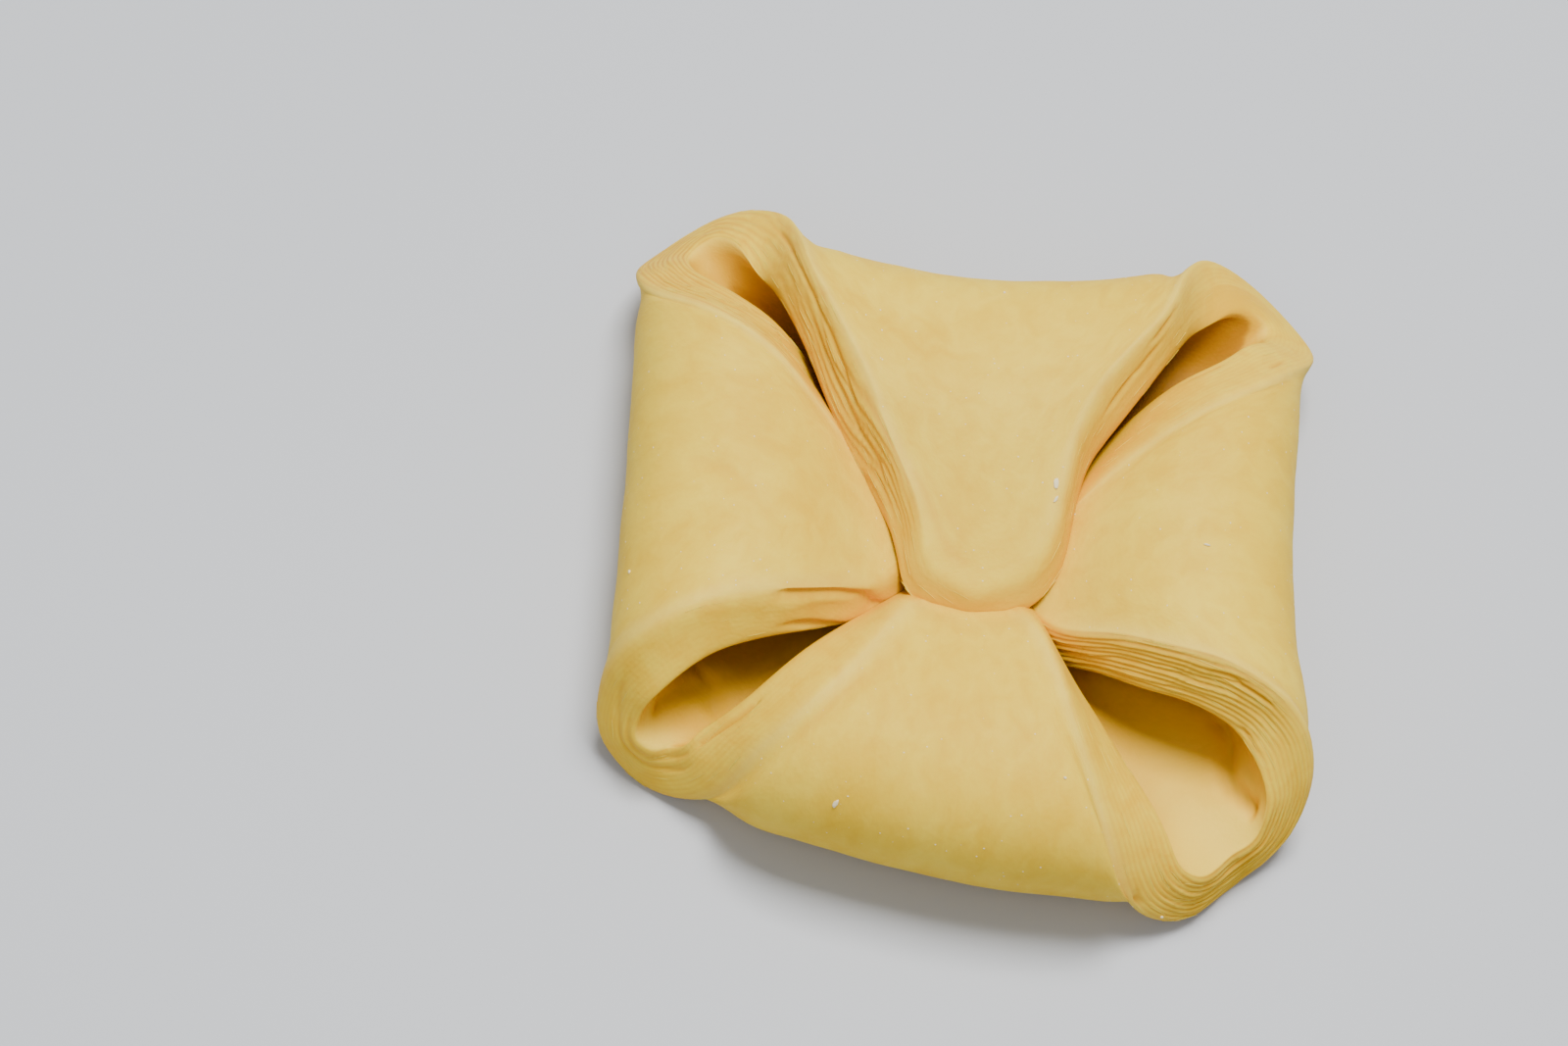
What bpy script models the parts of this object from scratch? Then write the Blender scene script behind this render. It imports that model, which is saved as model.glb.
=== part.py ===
"""Unbaked danish pastry: one square of layered dough, its four corners folded in to the middle.

Metres, +Z up, resting on its flat base. The front side of the folded square faces -Y.
"""
import bmesh
import bpy
import numpy as np
from mathutils import Matrix, Vector

# ---- driving dimensions, in millimetres unless the name says otherwise ----
OBJECT_NAME = "danish_pastry"
DOUGH_THICKNESS = 8.0
HALF_EDGE = 61.5            # half the side of the flat square of dough
SHEET_REACH = 43.5          # half the distance from the middle of that square to a corner
TIP_PRESS = 0.72            # share of the thickness lost where a tip is pressed down
TIP_PRESS_REACH = 17.0      # how far from a tip the pressing is felt
TIP_PRINT = 2.0             # how deep the back flap's tip sinks into the front flap
TIP_PRINT_PLACE = (1.7, -4.5)
TIP_PRINT_SIZE = (9.4, 11.3)
TIP_PRINT_EDGE = 0.18       # how soft the border of that print is, as a share of its size
TIP_PRINT_FADE = 0.3        # how softly it ends at the fold of the front flap
LAYER_COUNT = 6             # layers shown as ridges on the cut edge
RIDGE_DEPTH = 0.35
EDGE_ROUNDING = 0.6         # how far the two lips of a cut edge are drawn back
EDGE_ROUNDING_POWER = 6     # the higher, the closer to the lips
RIM_REACH = 7.0             # how far the tilt of a cut edge is felt inside the sheet
RIM_FADE = 3.5              # how far the lips of a cut edge are felt inside the sheet
SLANT_FADE = 6.8            # the same for its slant
CONTACT_HEIGHT = 0.45       # skin lower than this lies flat on the table
GRID_CELLS = 40             # guide grid across the sheet
MESH_CELLS = 44             # mesh cells across the sheet
EDGE_CELL = 0.018           # width of the row of cells beside a cut edge, share of half the sheet

# Distance from the middle to each corner's fold, along the diagonals of the base
CORNER_REACH = {"front_right": 56.5, "back_right": 57.5, "back_left": 57.5, "front_left": 52.0}
CORNER_ANGLE = {"front_right": -45.0, "back_right": 45.0, "back_left": 135.0, "front_left": -135.0}

# The fold of each flap: how far out it stands, its roundness and rise, where it falls on the
# sheet, and how far it slants and bows on the way from one corner to the other
FOLDS = {
    "front": {"angle": -90.0, "out": 43.0, "radius": 8.0, "rise": 16.0,
              "line": 1.06, "slant": 2.9, "bow": -4.4},
    "right": {"angle": 0.0, "out": 38.9, "radius": 8.0, "rise": 16.5,
              "line": 1.0, "slant": 2.8, "bow": 4.5},
    "back": {"angle": 90.0, "out": 31.1, "radius": 8.0, "rise": 16.5,
             "line": 0.84, "slant": -2.4, "bow": 9.0},
    "left": {"angle": 180.0, "out": 39.7, "radius": 8.0, "rise": 16.5,
             "line": 1.0, "slant": 2.2, "bow": 0.3},
}
GUIDED_SPAN = 0.6           # share of the way to its corners over which a fold is guided
GUIDED_SHEET = 0.78         # sheet points nearer to a cut edge than this follow the edge alone
GUIDES_ACROSS = 11
GUIDES_AROUND = 7

# How firmly the sheet is held by its stiffness, cut edges, flat base and folds
STIFFNESS = 0.05
EDGE_HOLD = 30.0
BASE_HOLD = 1.0
FOLD_HOLD = 0.6

# Where the sheet lies flat, as shares of the way from its middle to a corner
FLAT_DIAGONAL_WIDTH = 0.03
FLAT_DIAGONAL_REACH = 0.85
FOLD_START = 0.32           # a fold starts to lift this far before its line

# Cut edges of the flaps, from a corner of the base to the tip of the flap. Each row is the
# place along the diagonal, the place beside it, the height, and the tilt of the cut in degrees
CUT_EDGES = {
    ("right", "front_right"): [
        (56.5, 0.0, 4.0, -90), (56.6, 5.8, 5.7, -48), (54.2, 9.6, 11.3, -16), (49.4, 10.8, 17.0, 20),
        (43.8, 9.8, 20.6, 52), (37.9, 7.2, 22.0, 60), (32.1, 3.9, 21.0, 66), (25.9, 1.3, 18.3, 77),
        (20.0, -1.2, 14.2, 88), (8.1, -3.2, 10.1, 90)],
    ("front", "front_right"): [
        (56.5, 0.0, 4.0, -90), (56.5, 5.9, 4.9, -68), (53.8, 9.5, 7.7, -38), (50.2, 10.1, 11.8, -9),
        (45.6, 9.9, 15.8, 19), (37.7, 8.8, 18.7, 50), (32.2, 7.6, 19.5, 63), (26.0, 5.8, 19.0, 80),
        (20.5, 4.0, 17.8, 88), (13.3, 2.2, 16.1, 90), (3.5, 2.1, 13.4, 90)],
    ("left", "front_left"): [
        (52.0, 0.0, 4.0, -90), (53.1, 4.7, 5.9, -52), (51.1, 6.6, 10.8, -20), (48.9, 6.5, 16.2, 6),
        (45.4, 5.8, 20.2, 34), (40.4, 5.0, 22.3, 52), (32.0, 2.5, 21.6, 66), (24.2, -0.4, 19.4, 76),
        (17.8, -1.8, 16.4, 88), (8.5, -2.1, 13.2, 90)],
    ("front", "front_left"): [
        (52.0, 0.0, 4.0, -90), (50.1, 2.0, 5.1, -54), (47.3, 4.1, 9.1, -30), (43.5, 4.8, 13.4, 18),
        (38.5, 6.3, 17.9, 40), (34.4, 6.7, 20.0, 46), (29.2, 6.6, 20.5, 51), (23.2, 6.1, 19.5, 62),
        (15.8, 4.7, 16.4, 80), (2.1, 3.5, 13.4, 90)],
    ("back", "back_right"): [
        (59.4, 0.0, 8.2, -90), (58.6, 4.4, 9.2, -62), (55.0, 7.4, 12.0, -32), (47.2, 6.4, 16.1, 26),
        (36.7, 2.4, 21.3, 65), (28.4, 0.5, 22.1, 68), (21.9, -1.0, 21.6, 72), (16.2, -3.0, 20.7, 84),
        (11.7, -6.1, 20.1, 90), (4.4, -11.6, 19.2, 90), (-2.5, -13.7, 18.9, 90),
        (-9.7, -12.1, 18.9, 90)],
    ("right", "back_right"): [
        (59.4, 0.0, 8.2, -90), (58.5, 3.2, 9.0, -50), (54.2, 4.6, 12.8, -18), (47.2, 5.2, 17.6, 12),
        (40.1, 6.5, 20.4, 42), (33.8, 6.2, 21.0, 55), (28.2, 6.0, 20.2, 64), (21.8, 5.9, 18.4, 72),
        (16.1, 5.7, 16.2, 76), (7.0, 6.5, 12.7, 84), (-3.2, 8.1, 10.1, 90)],
    ("back", "back_left"): [
        (58.6, 0.0, 8.0, -90), (58.1, 4.7, 8.9, -60), (53.2, 6.4, 12.1, -28), (46.2, 4.8, 15.8, 26),
        (38.8, 1.6, 20.6, 58), (29.5, -1.2, 22.6, 69), (19.8, -3.8, 22.1, 71), (11.7, -5.6, 21.1, 76),
        (1.3, -8.3, 20.0, 82), (-4.2, -11.6, 19.3, 90), (-12.1, -9.7, 18.9, 90)],
    ("left", "back_left"): [
        (58.6, 0.0, 8.0, -90), (58.0, 4.4, 8.8, -52), (55.0, 6.9, 13.0, -26), (48.0, 7.8, 17.4, 12),
        (40.3, 7.0, 20.5, 44), (34.0, 5.9, 21.0, 58), (30.0, 5.2, 19.5, 66), (24.2, 4.8, 16.6, 76),
        (17.0, 5.0, 15.0, 84), (8.0, 5.6, 14.4, 90), (-2.1, 8.5, 13.2, 90)],
}

# How much further the inner skin reaches out than the outer one on each cut edge
CUT_SLANTS = {
    ("right", "front_right"): 1.5, ("front", "front_right"): 3.0, ("left", "front_left"): 1.0,
    ("front", "front_left"): 3.5, ("back", "back_right"): 2.0, ("right", "back_right"): 4.4,
    ("back", "back_left"): 2.0, ("left", "back_left"): 3.0,
}
# The same at the corners, where the inner skin stands back
CORNER_SLANTS = {"front_right": -1.6, "back_right": -5.6, "back_left": -4.8, "front_left": -1.6}
TIP_SLANT = 0.6             # the same at the tips
# Shares of a cut edge over which those are felt
CORNER_FADES = {"front_right": 0.4, "back_right": 0.33, "back_left": 0.33, "front_left": 0.4}
TIP_FADE = 0.3

# Which way each flap and corner lie on the sheet, whose axes run along the diagonals:
# the first from back left to front right, the second from front left to back right
CORNER_AXES = {"front_right": (1, 0), "back_right": (0, 1), "back_left": (-1, 0), "front_left": (0, -1)}
FLAP_SIGNS = {"front": (1, -1), "right": (1, 1), "back": (-1, 1), "left": (-1, -1)}
MILLIMETRE = 0.001


def direction(angle_deg):
    """Unit vector across the table at an angle from +X."""
    angle = np.radians(angle_deg)
    return np.array([np.cos(angle), np.sin(angle), 0.0])


def flap_outward(flap):
    return direction(FOLDS[flap]["angle"])


def smooth_line(rows, share):
    """Values along a smooth curve through rows of numbers, by share of its length."""
    rows = np.array(rows, dtype=float)
    steps = np.linalg.norm(np.diff(rows[:, :3], axis=0), axis=1)
    place = np.concatenate([[0.0], np.cumsum(steps)])
    place = place / place[-1]
    slope = np.gradient(rows, place, axis=0)
    index = np.clip(np.searchsorted(place, share, side="right") - 1, 0, len(rows) - 2)
    width = (place[index + 1] - place[index])[:, None]
    part = ((share - place[index]) / width[:, 0])[:, None]
    start, end = rows[index], rows[index + 1]
    leave, arrive = slope[index] * width, slope[index + 1] * width
    square, cube = part ** 2, part ** 3
    curve = start * (2 * cube - 3 * square + 1) + end * (3 * square - 2 * cube)
    return curve + leave * (cube - 2 * square + part) + arrive * (cube - square)


def edge_places(flap, corner, share):
    """Middle of the cut edge and its outward tilt, at shares of the way from corner to tip."""
    rows = smooth_line(CUT_EDGES[(flap, corner)], np.asarray(share, dtype=float))
    along = direction(CORNER_ANGLE[corner])
    own = flap_outward(flap)
    beside = own - along * (own @ along)
    beside = beside / np.linalg.norm(beside)
    upward = np.array([0.0, 0.0, 1.0])
    place = rows[:, :1] * along + rows[:, 1:2] * beside + rows[:, 2:3] * upward
    tilt = np.radians(rows[:, 3:4])
    return place, np.cos(tilt) * beside + np.sin(tilt) * upward


def edge_slants(flap, corner, share):
    """How much further the inner skin reaches out, at shares of the way from corner to tip."""
    own = CUT_SLANTS[(flap, corner)]
    at_corner = np.exp(-(share / CORNER_FADES[corner]) ** 2)
    at_tip = np.exp(-((1.0 - share) / TIP_FADE) ** 2)
    return own + (CORNER_SLANTS[corner] - own) * at_corner + (TIP_SLANT - own) * at_tip


def base_place(first, second):
    """Place of a sheet point while it still lies flat."""
    reach = {name: CORNER_REACH[name] * direction(CORNER_ANGLE[name]) for name in CORNER_REACH}
    ahead, behind = np.maximum(first, 0)[..., None], np.maximum(-first, 0)[..., None]
    right, left = np.maximum(second, 0)[..., None], np.maximum(-second, 0)[..., None]
    place = ahead * reach["front_right"] + behind * reach["back_left"]
    place = place + right * reach["back_right"] + left * reach["front_left"]
    place[..., 2] += DOUGH_THICKNESS / 2
    return place


def sheet_spot(flap, along, across):
    """Sheet place in a flap: along from middle to tip (0 to 2), across between its corners."""
    signs = FLAP_SIGNS[flap]
    return signs[0] * (along + across) / 2, signs[1] * (along - across) / 2


def fold_guides(flap):
    """Sheet places and space places that shape the round fold between two corners."""
    fold = FOLDS[flap]
    outward = flap_outward(flap)
    sideways = np.array([-outward[1], outward[0], 0.0])
    guides = []
    for across in np.linspace(-GUIDED_SPAN, GUIDED_SPAN, GUIDES_ACROSS):
        line = 1.0 + (fold["line"] - 1.0) * (1.0 - across ** 2)
        out = fold["out"] + fold["slant"] * across + fold["bow"] * across ** 2
        chord = base_place(*(np.array(spot) for spot in sheet_spot(flap, 1.0, across)))
        for turn in np.linspace(0.0, np.pi, GUIDES_AROUND):
            along = line + (turn - np.pi / 2) * fold["radius"] / SHEET_REACH
            distance = out - fold["radius"] * (1 - np.sin(turn))
            height = DOUGH_THICKNESS / 2 + fold["rise"] / 2 * (1 - np.cos(turn))
            place = outward * distance + sideways * (chord @ sideways) + np.array([0, 0, height])
            first, second = sheet_spot(flap, along, across)
            if max(abs(first), abs(second)) < GUIDED_SHEET:
                guides.append((first, second, place))
    return guides


def lies_flat(first, second):
    """Whether sheet points belong to the base, inside the folds or along its diagonals."""
    along = np.abs(first) + np.abs(second)
    beside = np.minimum(np.abs(first), np.abs(second))
    flat = (beside < FLAT_DIAGONAL_WIDTH) & (along < FLAT_DIAGONAL_REACH)
    for flap, signs in FLAP_SIGNS.items():
        inside = (first * signs[0] >= 0) & (second * signs[1] >= 0)
        flat |= inside & (along < FOLDS[flap]["line"] - FOLD_START)
    return flat


def spline_weights(place, cells):
    """Cubic weights of the guide points around a place between -1 and 1."""
    scaled = np.clip((place + 1.0) / 2.0 * cells, 0.0, cells - 1e-9)
    index = scaled.astype(int)
    part = scaled - index
    weights = np.stack([(1 - part) ** 3, 3 * part ** 3 - 6 * part ** 2 + 4,
                        -3 * part ** 3 + 3 * part ** 2 + 3 * part + 1, part ** 3], -1) / 6.0
    slopes = np.stack([-(1 - part) ** 2, 3 * part ** 2 - 4 * part,
                       -3 * part ** 2 + 2 * part + 1, part ** 2], -1) / 2.0 * cells / 2.0
    return index, weights, slopes


def sheet_rows(first, second, cells):
    """Weight rows that give sheet places from the guide grid, which has one ring outside."""
    index_a, weight_a, slope_a = spline_weights(first, cells)
    index_b, weight_b, slope_b = spline_weights(second, cells)
    columns = ((index_a[:, None] + np.arange(4))[:, :, None] * (cells + 3)
               + (index_b[:, None] + np.arange(4))[:, None, :]).reshape(len(first), 16)
    values = (weight_a[:, :, None] * weight_b[:, None, :]).reshape(len(first), 16)
    along_a = (slope_a[:, :, None] * weight_b[:, None, :]).reshape(len(first), 16)
    along_b = (weight_a[:, :, None] * slope_b[:, None, :]).reshape(len(first), 16)
    return columns, values, along_a, along_b


def add_wishes(matrix, goal, columns, values, places, weight):
    """Add weighted wishes that the sheet passes through given places."""
    for row_columns, row_values, place in zip(columns, values, places):
        matrix[np.ix_(row_columns, row_columns)] += weight * np.outer(row_values, row_values)
        goal[row_columns] += weight * np.outer(row_values, place)


def add_smoothness(matrix, cells, weight):
    """Add the wish that neighbouring guide points bend as little as they can."""
    size = cells + 3
    numbers = np.arange(size * size).reshape(size, size)
    for run in (numbers, numbers.T):
        for left, middle, right in zip(run[:-2].ravel(), run[1:-1].ravel(), run[2:].ravel()):
            spot = np.array([left, middle, right])
            matrix[np.ix_(spot, spot)] += weight * BEND
    for corner in zip(numbers[:-1, :-1].ravel(), numbers[1:, :-1].ravel(),
                      numbers[:-1, 1:].ravel(), numbers[1:, 1:].ravel()):
        spot = np.array(corner)
        matrix[np.ix_(spot, spot)] += 2 * weight * TWIST


BEND = np.outer([1.0, -2.0, 1.0], [1.0, -2.0, 1.0])
TWIST = np.outer([1.0, -1.0, -1.0, 1.0], [1.0, -1.0, -1.0, 1.0])


def corner_share_point(flap, corner, share):
    """Sheet place on a cut edge, by share of the way from the corner to the flap's tip."""
    axis = CORNER_AXES[corner]
    signs = FLAP_SIGNS[flap]
    if axis[0]:
        return np.full_like(share, float(signs[0])), signs[1] * share
    return signs[0] * share, np.full_like(share, float(signs[1]))


def solve_sheet(cells):
    """Guide grid of the smoothest folded sheet that meets the cut edges, folds and base."""
    size = (cells + 3) ** 2
    matrix = np.zeros((size, size))
    goal = np.zeros((size, 3))
    add_smoothness(matrix, cells, STIFFNESS)
    share = np.linspace(0.0, 1.0, cells + 1)
    for flap, corner in CUT_EDGES:
        places, _ = edge_places(flap, corner, share)
        first, second = corner_share_point(flap, corner, share)
        columns, values, _, _ = sheet_rows(first, second, cells)
        add_wishes(matrix, goal, columns, values, places, EDGE_HOLD)
    line = np.linspace(-1.0, 1.0, cells + 1)
    first, second = (grid.ravel() for grid in np.meshgrid(line, line, indexing="ij"))
    flat = lies_flat(first, second)
    columns, values, _, _ = sheet_rows(first[flat], second[flat], cells)
    add_wishes(matrix, goal, columns, values, base_place(first[flat], second[flat]), BASE_HOLD)
    for flap in FOLDS:
        guides = fold_guides(flap)
        first = np.array([guide[0] for guide in guides])
        second = np.array([guide[1] for guide in guides])
        columns, values, _, _ = sheet_rows(first, second, cells)
        add_wishes(matrix, goal, columns, values, [guide[2] for guide in guides], FOLD_HOLD)
    return np.linalg.solve(matrix, goal)


def cut_tilts(first, second):
    """Outward tilt and slant of the nearest cut edges and how strongly they are felt."""
    tilts = np.zeros((len(first), 3))
    slants = np.zeros(len(first))
    felt = np.zeros(len(first))
    for flap, corner in CUT_EDGES:
        signs, axis = FLAP_SIGNS[flap], CORNER_AXES[corner]
        inside = (first * signs[0] >= 0) & (second * signs[1] >= 0)
        near, share = (first, second) if axis[0] else (second, first)
        share = np.clip(np.abs(share), 0.0, 1.0)
        _, outward = edge_places(flap, corner, share)
        gap = (1.0 - np.abs(near)) * HALF_EDGE / RIM_REACH
        weight = np.where(inside, np.exp(-gap ** 2), 0.0)
        tilts += weight[:, None] * outward
        slants += weight * edge_slants(flap, corner, share)
        felt += weight
    nonzero = np.maximum(felt, 1e-6)
    return tilts / nonzero[:, None], slants / nonzero, felt


def folded(first, second, depth, guide_grid, cells):
    """Place in space of sheet points; depth runs from -0.5 inside to 0.5 on the outer skin."""
    columns, values, along_a, along_b = sheet_rows(first, second, cells)
    nearby = guide_grid[columns]
    middle = np.einsum("ij,ijk->ik", values, nearby)
    slope_a = np.einsum("ij,ijk->ik", along_a, nearby)
    slope_b = np.einsum("ij,ijk->ik", along_b, nearby)
    outward = -np.cross(slope_a, slope_b)
    outward = outward / np.linalg.norm(outward, axis=1, keepdims=True)
    tilts, slants, felt = cut_tilts(first, second)
    share = np.minimum(felt, 1.0)[:, None]
    outward = outward * (1 - share) + tilts * share
    outward = outward / np.linalg.norm(outward, axis=1, keepdims=True)
    tip_gap = np.hypot(1 - np.abs(first), 1 - np.abs(second)) * HALF_EDGE / TIP_PRESS_REACH
    thickness = DOUGH_THICKNESS * (1 - TIP_PRESS * np.exp(-tip_gap ** 2))
    place = middle + outward * (depth * thickness)[:, None]
    place[:, 2] -= (depth + 0.5) * tip_print(place) * front_share(first, second)
    for near, slope in ((first, slope_a), (second, slope_b)):
        gap = (1.0 - np.abs(near)) * HALF_EDGE
        slanted = np.exp(-(gap / SLANT_FADE) ** 2) * slants * (0.5 - depth)
        lips = np.exp(-(gap / RIM_FADE) ** 2) * rim_profile(depth)
        reach = slope / np.linalg.norm(slope, axis=1, keepdims=True) * np.sign(near)[:, None]
        place = place + reach * (slanted + lips)[:, None]
    return place


def soft_step(value):
    """Smooth step from 0 to 1 as the value goes from 0 to 1."""
    value = np.clip(value, 0.0, 1.0)
    return value * value * (3 - 2 * value)


def tip_print(place):
    """How deep the tip of the back flap presses what lies under it."""
    across = (place[:, 0] - TIP_PRINT_PLACE[0]) / TIP_PRINT_SIZE[0]
    along = (place[:, 1] - TIP_PRINT_PLACE[1]) / TIP_PRINT_SIZE[1]
    return TIP_PRINT * soft_step(1.0 + (1.0 - np.hypot(across, along)) / TIP_PRINT_EDGE)


def front_share(first, second):
    """One in the upper half of the front flap and zero elsewhere."""
    signs = FLAP_SIGNS["front"]
    inside = (first * signs[0] > 0) & (second * signs[1] > 0)
    beyond_fold = np.abs(first) + np.abs(second) - 1.0
    return np.where(inside, soft_step(beyond_fold / TIP_PRINT_FADE), 0.0)


def rim_profile(depth):
    """How far the cut edge stands out at each depth: ridges and rounded lips."""
    ridges = RIDGE_DEPTH * 0.5 * (np.cos(2 * np.pi * LAYER_COUNT * (depth + 0.5)) - 1)
    lips = -EDGE_ROUNDING * np.abs(2 * depth) ** EDGE_ROUNDING_POWER
    return lips - ridges - RIDGE_DEPTH


def cell_lines():
    """Grid lines across the sheet, closer beside the cut edges."""
    inner = np.linspace(-1.0 + EDGE_CELL, 1.0 - EDGE_CELL, MESH_CELLS - 1)
    return np.concatenate([[-1.0], inner, [1.0]])


def cut_slab():
    """Unit slab from a cube, cut by planes into cells and layers."""
    mesh = bmesh.new()
    bmesh.ops.create_cube(mesh, size=2.0)
    depths = np.linspace(-1.0, 1.0, 2 * LAYER_COUNT + 1)
    for axis, lines in ((0, cell_lines()), (1, cell_lines()), (2, depths)):
        for place in lines[1:-1]:
            spot, normal = Vector((0, 0, 0)), Vector((0, 0, 0))
            spot[axis], normal[axis] = place, 1.0
            everything = mesh.verts[:] + mesh.edges[:] + mesh.faces[:]
            bmesh.ops.bisect_plane(mesh, geom=everything, dist=1e-7, plane_co=spot, plane_no=normal)
    return mesh


def make_dough(collection):
    """The folded sheet of dough, one closed solid."""
    guide_grid = solve_sheet(GRID_CELLS)
    mesh = cut_slab()
    flat = np.array([vertex.co[:] for vertex in mesh.verts])
    place = folded(flat[:, 0], flat[:, 1], -flat[:, 2] / 2, guide_grid, GRID_CELLS)
    place[:, 2] = np.where(place[:, 2] < CONTACT_HEIGHT, 0.0, place[:, 2])
    for vertex, spot in zip(mesh.verts, place):
        vertex.co = Vector(spot * MILLIMETRE)
    bmesh.ops.triangulate(mesh, faces=mesh.faces[:], quad_method="SHORT_EDGE")
    bmesh.ops.recalc_face_normals(mesh, faces=mesh.faces[:])
    return add_object("dough", mesh, collection)


def add_object(name, mesh, collection):
    data = bpy.data.meshes.new(name)
    mesh.to_mesh(data)
    mesh.free()
    new_object = bpy.data.objects.new(name, data)
    collection.objects.link(new_object)
    return new_object


def centre_on_base(dough):
    """Move the mesh so that its box is centred over the origin and it stands on z = 0."""
    spots = np.array([vertex.co[:] for vertex in dough.data.vertices])
    middle = (spots.min(axis=0) + spots.max(axis=0)) / 2
    dough.data.transform(Matrix.Translation((-middle[0], -middle[1], -spots[:, 2].min())))


def make_collection(name):
    collection = bpy.data.collections.new(name)
    bpy.context.scene.collection.children.link(collection)
    return collection


def make_material(name, colour, roughness):
    material = bpy.data.materials.new(name)
    material.use_nodes = True
    shader = material.node_tree.nodes["Principled BSDF"]
    shader.inputs["Base Color"].default_value = (*colour, 1.0)
    shader.inputs["Roughness"].default_value = roughness
    return material


def main():
    for old in list(bpy.data.objects):
        bpy.data.objects.remove(old, do_unlink=True)
    collection = make_collection(OBJECT_NAME)
    dough = make_dough(collection)
    centre_on_base(dough)
    dough.data.materials.append(make_material("raw_dough", (0.72, 0.56, 0.27), 0.6))


main()
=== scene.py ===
"""Unbaked danish pastry on a plain pale table: the dough's fine surface, layered cut edges and finish.

The folded sheet is worked out as in the CAD source, from the same sizes in millimetres, with a
finer mesh that carries the layers of the cut edges, soft dents and lips.
"""
import math

import bmesh
import bpy
import numpy as np
from mathutils import Matrix, Vector
from mathutils.bvhtree import BVHTree

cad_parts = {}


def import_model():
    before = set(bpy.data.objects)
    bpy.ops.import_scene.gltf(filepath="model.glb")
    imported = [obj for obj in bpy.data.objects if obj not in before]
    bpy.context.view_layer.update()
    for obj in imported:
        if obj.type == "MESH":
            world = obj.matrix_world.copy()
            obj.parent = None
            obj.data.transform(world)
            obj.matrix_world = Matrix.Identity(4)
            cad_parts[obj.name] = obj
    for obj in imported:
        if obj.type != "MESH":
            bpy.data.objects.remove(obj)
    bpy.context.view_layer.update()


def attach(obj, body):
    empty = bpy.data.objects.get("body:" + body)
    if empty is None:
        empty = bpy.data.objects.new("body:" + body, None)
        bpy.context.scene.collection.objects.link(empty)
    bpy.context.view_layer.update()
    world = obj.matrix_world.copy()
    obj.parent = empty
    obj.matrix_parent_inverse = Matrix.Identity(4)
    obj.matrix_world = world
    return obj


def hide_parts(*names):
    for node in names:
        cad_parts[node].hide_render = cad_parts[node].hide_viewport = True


MILLIMETRE = 0.001

# ---- the folded sheet, in millimetres, as in the CAD source ----
DOUGH_THICKNESS = 8.0
HALF_EDGE = 61.5            # half the side of the flat square of dough
SHEET_REACH = 43.5          # half the distance from the middle of that square to a corner
TIP_PRESS = 0.72            # share of the thickness lost where a tip is pressed down
TIP_PRESS_REACH = 17.0      # how far from a tip the pressing is felt
TIP_PRINT = 2.0             # how deep the back flap's tip sinks into the front flap
TIP_PRINT_PLACE = (1.7, -4.5)
TIP_PRINT_SIZE = (9.4, 11.3)
TIP_PRINT_EDGE = 0.18       # how soft the border of that print is, as a share of its size
TIP_PRINT_FADE = 0.3        # how softly it ends at the fold of the front flap
LAYER_COUNT = 6             # layers shown as ridges on the cut edge
RIDGE_DEPTH = 0.35
EDGE_ROUNDING = 0.6         # how far the two lips of a cut edge are drawn back
EDGE_ROUNDING_POWER = 6     # the higher, the closer to the lips
RIM_REACH = 7.0             # how far the tilt of a cut edge is felt inside the sheet
RIM_FADE = 3.5              # how far the lips of a cut edge are felt inside the sheet
SLANT_FADE = 6.8            # the same for its slant
CONTACT_HEIGHT = 0.45       # skin lower than this lies flat on the table
GRID_CELLS = 40             # guide grid across the sheet
MESH_CELLS = 44             # mesh cells across the sheet
EDGE_CELL = 0.018           # width of the row of cells beside a cut edge, share of half the sheet

# Distance from the middle to each corner's fold, along the diagonals of the base
CORNER_REACH = {"front_right": 56.5, "back_right": 57.5, "back_left": 57.5, "front_left": 52.0}
CORNER_ANGLE = {"front_right": -45.0, "back_right": 45.0, "back_left": 135.0, "front_left": -135.0}

# The fold of each flap: how far out it stands, its roundness and rise, where it falls on the
# sheet, and how far it slants and bows on the way from one corner to the other
FOLDS = {
    "front": {"angle": -90.0, "out": 43.0, "radius": 8.0, "rise": 16.0,
              "line": 1.06, "slant": 2.9, "bow": -4.4},
    "right": {"angle": 0.0, "out": 38.9, "radius": 8.0, "rise": 16.5,
              "line": 1.0, "slant": 2.8, "bow": 4.5},
    "back": {"angle": 90.0, "out": 31.1, "radius": 8.0, "rise": 16.5,
             "line": 0.84, "slant": -2.4, "bow": 9.0},
    "left": {"angle": 180.0, "out": 39.7, "radius": 8.0, "rise": 16.5,
             "line": 1.0, "slant": 2.2, "bow": 0.3},
}
GUIDED_SPAN = 0.6           # share of the way to its corners over which a fold is guided
GUIDED_SHEET = 0.78         # sheet points nearer to a cut edge than this follow the edge alone
GUIDES_ACROSS = 11
GUIDES_AROUND = 7

# How firmly the sheet is held by its stiffness, cut edges, flat base and folds
STIFFNESS = 0.05
EDGE_HOLD = 30.0
BASE_HOLD = 1.0
FOLD_HOLD = 0.6
BEND = np.outer([1.0, -2.0, 1.0], [1.0, -2.0, 1.0])
TWIST = np.outer([1.0, -1.0, -1.0, 1.0], [1.0, -1.0, -1.0, 1.0])

# Where the sheet lies flat, as shares of the way from its middle to a corner
FLAT_DIAGONAL_WIDTH = 0.03
FLAT_DIAGONAL_REACH = 0.85
FOLD_START = 0.32           # a fold starts to lift this far before its line

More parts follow.
